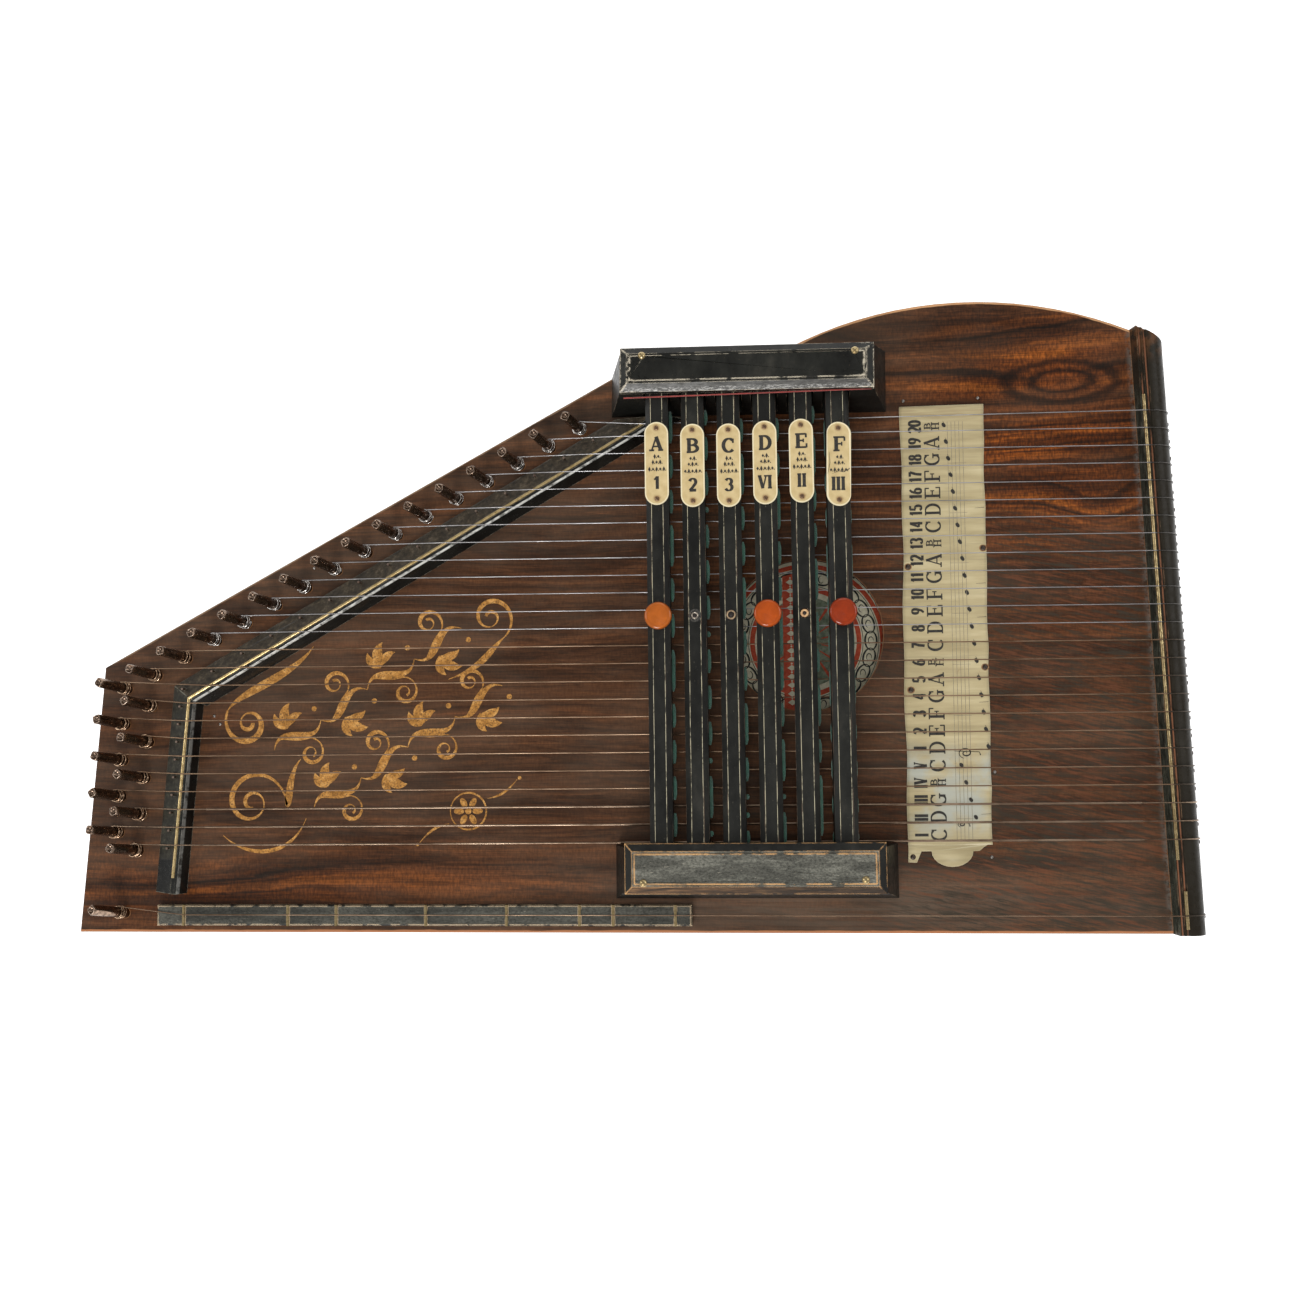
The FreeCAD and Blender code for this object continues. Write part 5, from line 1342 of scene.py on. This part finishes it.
def print_card(ink_paint, faded):
    """Number, note name and note head beside each string; the figures read upwards from the right."""
    quarter = math.pi / 2
    ink = Ink(lambda u, v: on_card(u, v, 0.06))
    for index, letter in enumerate(NOTE_LETTERS):
        up = MARK_FIRST + MARK_PITCH * index
        mark = BASS_MARKS[index] if index < 5 else str(index - 4)
        widths = [{"I": 1.7, "V": 3.3, "1": 2.4}.get(figure, 3.1) for figure in mark]
        start = up - sum(widths) / 2
        for figure, width in zip(mark, widths):
            ink.glyph(figure, 6.6, start + width / 2, width * 0.9, 5.9, 1.32, quarter)
            start += width
        across = 14.5
        if letter == "H":
            ink.glyph("B", across - 1.9, up, 3.2, 3.0, 0.75, quarter)
            ink.glyph("H", across + 1.9, up, 3.8, 3.4, 0.75, quarter)
            ink.stroke([(across, up - 2.2), (across, up + 2.2)], [0.22, 0.22])
        else:
            ink.glyph(letter, across, up, 6.0, 7.2, 1.22, quarter)
    for index in range(5, STRINGS):
        up = MARK_FIRST + MARK_PITCH * index + 0.4
        across = 38.0 - (index - 5) * 0.93
        ink.disc(across, up, 0.85, 16, 1.5, quarter + 0.6)
        ink.stroke([(across + 0.3, up + 0.6), (across - 0.4, up + 2.0)], [0.25, 0.12])
        if index < 16:
            ink.stroke([(across, up - 1.5), (across, up + 1.5)], [0.14, 0.14])
    for index in range(1, 5):
        ink.disc(33.6 - 2.05 * index, MARK_FIRST + MARK_PITCH * index, 0.85, 14, 1.4, quarter + 0.6)
    draw_clef(ink, 27.5, 42.5)
    draw_clef(ink, 25.0, 9.5, 0.55)
    for up in (14.0, 66.0, 106.0, 122.0, 158.0):
        ink.stroke([(34.0, up), (38.4, up + 0.2)], [0.12, 0.22])
    ink.piece("card_print", ink_paint, ROOT, "card")
    lines = Ink(lambda u, v: on_card(u, v, 0.05))
    for line in range(5):
        points = [(22.8 + 1.78 * line - 0.004 * v, v) for v in range(2, 203, 3)]
        lines.stroke(points, [0.20] * len(points))
    for up in range(12, 200, 24):
        lines.stroke([(22.4, up), (30.6, up)], [0.14, 0.14])
    lines.piece("card_staves", faded, ROOT, "card")


def draw_clef(ink, across, up, size=1.0):
    """A plain spiral clef sign, lying on its side like the figures."""
    shares = [i / 45 for i in range(46)]
    turns = [polar((0.3 + 2.3 * share) * size, 3.4 * math.pi * share) for share in shares]
    widths = [0.25 + 0.35 * math.sin(math.pi * share) for share in shares]
    ink.stroke([(across + 1.3 * u, up + v) for u, v in turns], widths)
    tail = [(across + u * size, up + v) for u, v in ((-5.2, 0.9), (6.2, 0.4), (6.8, -1.1))]
    ink.stroke(tail, [0.2, 0.35, 0.6])


def build_tacks(iron):
    """Rusty heads on the card and bright points in the board beside it."""
    bright = metal("bright_tack", (0.12, 0.10, 0.09), (0.50, 0.47, 0.43), (0.25, 0.45), 1.0)
    rust = printed("rust_stain", (0.16, 0.07, 0.03), (0.30, 0.17, 0.08), 1.5, 0.8)
    head = [(1.3, 0.0), (1.25, 0.35), (0.9, 0.62), (0.35, 0.75)]
    small = [(0.8, 0.0), (0.75, 0.3), (0.4, 0.5), (0.1, 0.55)]
    on_paper = ((408.7, 171.5), (443.8, 179.6), (408.5, 113.1), (443.0, 123.3))
    in_board = ((408.6, 251.8), (443.6, 251.9), (443.3, 35.1), (445.9, 74.3), (67.4, 105.9), (70.6, 101.8),
                (117.9, 178.6))
    places = [(x, y, head, iron, card_lift(*across_card(x, y)) - 0.05) for x, y in on_paper]
    places += [(x, y, small, bright, -0.05) for x, y in in_board] + [(407.3, 35.2, head, iron, 0.4)]
    stains = Ink(lambda u, v: on_card(u, v, 0.04))
    for index, (x, y, profile, finish, lift) in enumerate(places):
        tack = lathe("tack_%d" % (index + 1), profile, Matrix.Translation(plan(x, y, lift)), finish, ROOT,
                     "iron_nail", 18)
        if index == 0:
            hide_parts("card_tacks")
        if index < 4:
            stains.disc(*across_card(x, y), 1.65, 18, 1.1)
    stains.piece("tack_rust", rust, ROOT, "card")


# ---------------------------------------------------------------- label in the sound hole
def build_rosette():
    """Printed paper disc on the back board: border of linked ovals, red rings, rays and a red band."""
    low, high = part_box("soundhole_label")
    centre = (low + high) / 2
    cream = printed("rosette_cream", (0.66, 0.60, 0.42), (0.84, 0.79, 0.60), 0.5)
    red = printed("rosette_red", (0.46, 0.060, 0.026), (0.66, 0.115, 0.052), 0.5)
    green = printed("rosette_green", (0.12, 0.15, 0.095), (0.30, 0.34, 0.24), 0.45)
    black = printed("rosette_black", (0.015, 0.015, 0.012), (0.05, 0.05, 0.04), 0.6)
    dress("soundhole_label", cream)

    def layer(lift):
        """Ink that lies a hair above the paper."""
        return Ink(lambda u, v: Vector((centre.x + u * MM, centre.y + v * MM, high.z + lift * MM)))

    reds = layer(0.05)
    reds.ring(0, 0, 39.0, 36.8, 96)
    reds.ring(0, 0, 27.6, 25.2, 96)
    greens = layer(0.05)
    greens.disc(0, 0, 22.5, 64)
    blacks = layer(0.08)
    links = 24
    for link in range(links):
        turn = 2 * math.pi * link / links
        x, y = polar(32.2, turn)
        oval = turned(arc(0, 0, 2.9, 4.7, 0, 360, 18), x, y, turn)
        blacks.stroke(oval, [0.75 + 0.25 * math.cos(2 * math.pi * i / 9) for i in range(19)])
        swirl = [(x + 1.3 * math.cos(t * 0.7 + turn), y + 1.9 * math.sin(t * 0.7 + turn)) for t in range(7)]
        blacks.stroke(swirl, [0.2, 0.35, 0.5, 0.55, 0.5, 0.35, 0.2])
        blacks.disc(*polar(39.9, turn + 0.13), 0.42, 8, 1.8, turn + 1.7)
    blacks.ring(0, 0, 36.2, 35.9, 96)
    blacks.ring(0, 0, 28.5, 28.2, 96)
    rays = layer(0.08)
    for ray in range(16):
        turn = 2 * math.pi * (ray + 0.5) / 16
        rays.stroke([polar(8, turn), polar(22, turn)], [0.4, 1.7])
    band = layer(0.11)
    band.polygon([(-11.0, -33.0), (-3.2, -35.0), (-3.2, 35.0), (-11.0, 33.0)])
    ornament = layer(0.15)
    for step in range(-7, 8):
        y = step * 4.3
        ornament.polygon([(-9.3, y), (-7.1, y + 1.5), (-4.9, y), (-7.1, y - 1.5)])
        ornament.disc(-7.1, y + 2.15, 0.45, 10)
    prints = (("rings", reds, red), ("field", greens, green), ("chain", blacks, black), ("rays", rays, red),
              ("band", band, red), ("lozenges", ornament, cream))
    for name, ink, paint in prints:
        ink.piece("rosette_" + name, paint, ROOT, "printed_label")


# ---------------------------------------------------------------- gold scrollwork
def volute(centre, start, turns, outer, inner, weight, hand=1):
    """Points and widths of a spiral stroke that begins thin on its outer turn."""
    count = int(30 * turns) + 6
    points, widths = [], []
    for i in range(count + 1):
        share = i / count
        reach = outer * (inner / outer) ** share
        turn = hand * 2 * math.pi * turns * share
        points.append(centre + polar(reach, start + turn))
        swell = 0.25 + 0.75 * abs(math.sin(turn * 0.5 + 0.2)) ** 1.6
        widths.append(min(weight * swell * (1 - 0.4 * share), reach * 0.9))
    return points, widths


def bend_line(start, pull_a, pull_b, end, weight, count=22):
    """Points and widths of a brush stroke along a cubic curve, thick in the middle."""
    points, widths = [], []
    for i in range(count + 1):
        t = i / count
        k = 1 - t
        points.append(start * k ** 3 + pull_a * 3 * t * k ** 2 + pull_b * 3 * t ** 2 * k + end * t ** 3)
        widths.append(max(0.3, weight * math.sin(math.pi * (0.04 + 0.92 * t)) ** 1.3))
    return points, widths


def swash(ink, start, pull, centre, angle, turns, outer, inner, weight, hand):
    """A brush stroke that runs on into a volute."""
    joint = centre + polar(outer, angle)
    before = joint - polar(outer * 0.9 * hand, angle + math.pi / 2)
    ink.stroke(*bend_line(start, pull, before, joint, weight))
    ink.stroke(*volute(centre, angle, turns, outer, inner, weight * 0.8, hand))


def leaf(ink, root, tip, bow, weight):
    """A pointed leaf whose spine bows sideways."""
    along = tip - root
    side = Vector((-along.y, along.x)) * bow
    ink.stroke(*bend_line(root, root + along * 0.3 + side, root + along * 0.75 + side, tip, weight, 14))


def scroll_run(ink, start, step, count, size, weight):
    """A rising vine: every joint has a curl on one side, three leaves on the other and a berry."""
    tilt = math.atan2(step.y, step.x)
    for index in range(count):
        hand = -1 if index % 2 else 1
        side = polar(size * hand, tilt + math.pi / 2)
        a = start + step * index
        b = a + step
        ink.stroke(*bend_line(a, a + step * 0.35 + side * 0.9, b - step * 0.35 - side * 0.9, b, weight * 0.8))
        root = a + (step + side) * 0.2
        swash(ink, root, root + (step - side) * 0.3, a + step * 0.55 - side * 0.85, tilt + hand * 0.9, 1.4,
              size * 0.55, size * 0.14, weight * 0.75, -hand)
        crown = a + step * 0.4 + side * 0.42
        for lean, reach, swell in ((0.95, 0.95, 1.25), (1.75, 0.75, 1.0), (0.25, 0.8, 1.0)):
            tip = crown + polar(size * reach, tilt + hand * lean)
            leaf(ink, crown, tip, 0.22 * hand, weight * swell)
        ink.disc(*(b + side * 0.5), weight * 0.33, 14)


def build_ornament():
    """Gold scrolls across the soundboard left of the bars, and a small flower below their right end."""
    ink = Ink(lambda u, v: plan(u, v, 0.03))
    rise = Vector((23.5, 14.6))
    scroll_run(ink, Vector((98.5, 88.5)), rise, 4, 13.2, 4.0)
    scroll_run(ink, Vector((119.0, 60.0)), rise, 4, 12.5, 4.0)
    for start, pull, centre, *shape in (
            ((118.0, 139.5), (107.0, 124.0), (85.0, 102.0), 2.6, 1.6, 12.5, 2.2, 4.2, 1),
            ((112.0, 84.0), (104.0, 76.0), (87.5, 63.0), 0.2, 1.75, 17.0, 2.6, 3.6, 1),
            ((186.0, 122.0), (205.0, 128.0), (207.0, 152.0), -0.9, 1.6, 12.0, 2.2, 3.2, 1)):
        swash(ink, Vector(start), Vector(pull), Vector(centre), *shape)
    under = [Vector(place) for place in ((73.0, 47.0), (86.0, 35.0), (108.0, 36.0), (115.0, 55.0))]
    ink.stroke(*bend_line(*under, 2.0))
    flower = Vector((196.0, 58.0))
    for petal in range(6):
        turn = math.pi * petal / 3
        ink.disc(*(flower + polar(4.6, turn)), 1.5, 18, 1.7, turn)
    ink.disc(*flower, 1.5)
    ink.ring(*flower, 9.2, 8.5, 48, 0.3)
    for hand in (1, -1):
        root, near, far, end, dot = (flower + Vector(offset) * hand for offset in
                                     ((9.5, 6.0), (15.5, 7.0), (19.0, 9.0), (24.0, 15.0), (25.2, 15.8)))
        ink.stroke(*bend_line(root, near, far, end, 1.2))
        ink.disc(*dot, 0.9, 14)
    ink.piece("gold_scrollwork", gold_leaf(), ROOT, "rosewood")


# ---------------------------------------------------------------- studio
# Name, place and size in metres, and power in watts of each soft light.
LIGHTS = (("key", (-0.30, -1.30, 1.10), 0.6, 17.0), ("right_fill", (1.45, 0.35, 1.0), 0.8, 6.0),
          ("left_fill", (-1.45, 0.25, 1.0), 0.8, 6.0), ("back_fill", (0.2, 1.4, 0.9), 0.8, 3.0),
          ("overhead", (0.1, -0.2, 1.8), 0.7, 12.0))
FLOOR_REACH = 4.0
SKY_STRENGTH = 0.38
CAMERA_PLACE, CAMERA_ANGLES, CAMERA_LENS = (351.2, 80.9, 650.0), (4.83, 6.06, -0.644), 37.98


def build_studio():
    """Pale floor, an even white sky, five soft lights and a camera that looks down on the bars."""
    scene = bpy.context.scene
    scene.view_settings.view_transform = "Standard"
    world = bpy.data.worlds.new("studio")
    world.use_nodes = True
    background = world.node_tree.nodes["Background"]
    background.inputs["Color"].default_value = (1.0, 1.0, 1.0, 1.0)
    background.inputs["Strength"].default_value = SKY_STRENGTH
    scene.world = world
    floor = bpy.data.meshes.new("studio_floor")
    corners = ((-1, -1), (1, -1), (1, 1), (-1, 1))
    floor.from_pydata([(x * FLOOR_REACH, y * FLOOR_REACH, 0) for x, y in corners], [], [(0, 1, 2, 3)])
    ground = bpy.data.objects.new("studio_floor", floor)
    floor.materials.append(floor_paint())
    scene.collection.objects.link(ground)
    for name, place, size, power in LIGHTS:
        light = bpy.data.lights.new(name, "AREA")
        light.size = size
        light.energy = power
        lamp = bpy.data.objects.new(name, light)
        lamp.location = place
        lamp.rotation_euler = (Vector((0, 0, 0.03)) - Vector(place)).to_track_quat("-Z", "Y").to_euler()
        lamp.visible_glossy = name != "overhead"
        scene.collection.objects.link(lamp)
    camera = bpy.data.cameras.new("photo_view")
    camera.lens = CAMERA_LENS
    camera.sensor_width = 36.0
    viewer = bpy.data.objects.new("photo_view", camera)
    viewer.location = plan(*CAMERA_PLACE)
    viewer.rotation_euler = [math.radians(angle) for angle in CAMERA_ANGLES]
    scene.collection.objects.link(viewer)
    scene.camera = viewer


build_studio()
iron_finish = dress_soundbox()
# The pins' lighter edges are rubbed steel and also a painted highlight on the head rims.
build_pins(metal("browned_steel", (0.065, 0.042, 0.030), (0.34, 0.24, 0.175), (0.20, 0.36), 0.4, 0.2,
                 (0.66, 0.60, 0.52)))
build_strings()
green_felt = felt("green_felt", (0.009, 0.058, 0.036), (0.024, 0.16, 0.098))
black_ink = printed("black_ink", (0.010, 0.009, 0.008), (0.035, 0.030, 0.024), 1.0, 0.5)
label_plate = celluloid()
rusty_pin = metal("rusty_pin", (0.08, 0.04, 0.025), (0.42, 0.28, 0.18), (0.25, 0.5), 1.6)
for bar_number in BARS:
    build_felts(bar_number, green_felt)
    build_label(bar_number, label_plate, black_ink, rusty_pin)
build_buttons()
build_springs(metal("spring_steel", (0.2, 0.19, 0.18), (0.5, 0.49, 0.48), (0.25, 0.4)))
build_card(card_paper(), black_ink, printed("faded_ink", (0.12, 0.105, 0.075), (0.24, 0.21, 0.145), 0.5))
build_tacks(iron_finish)
build_rosette()
build_ornament()

bpy.context.view_layer.update()
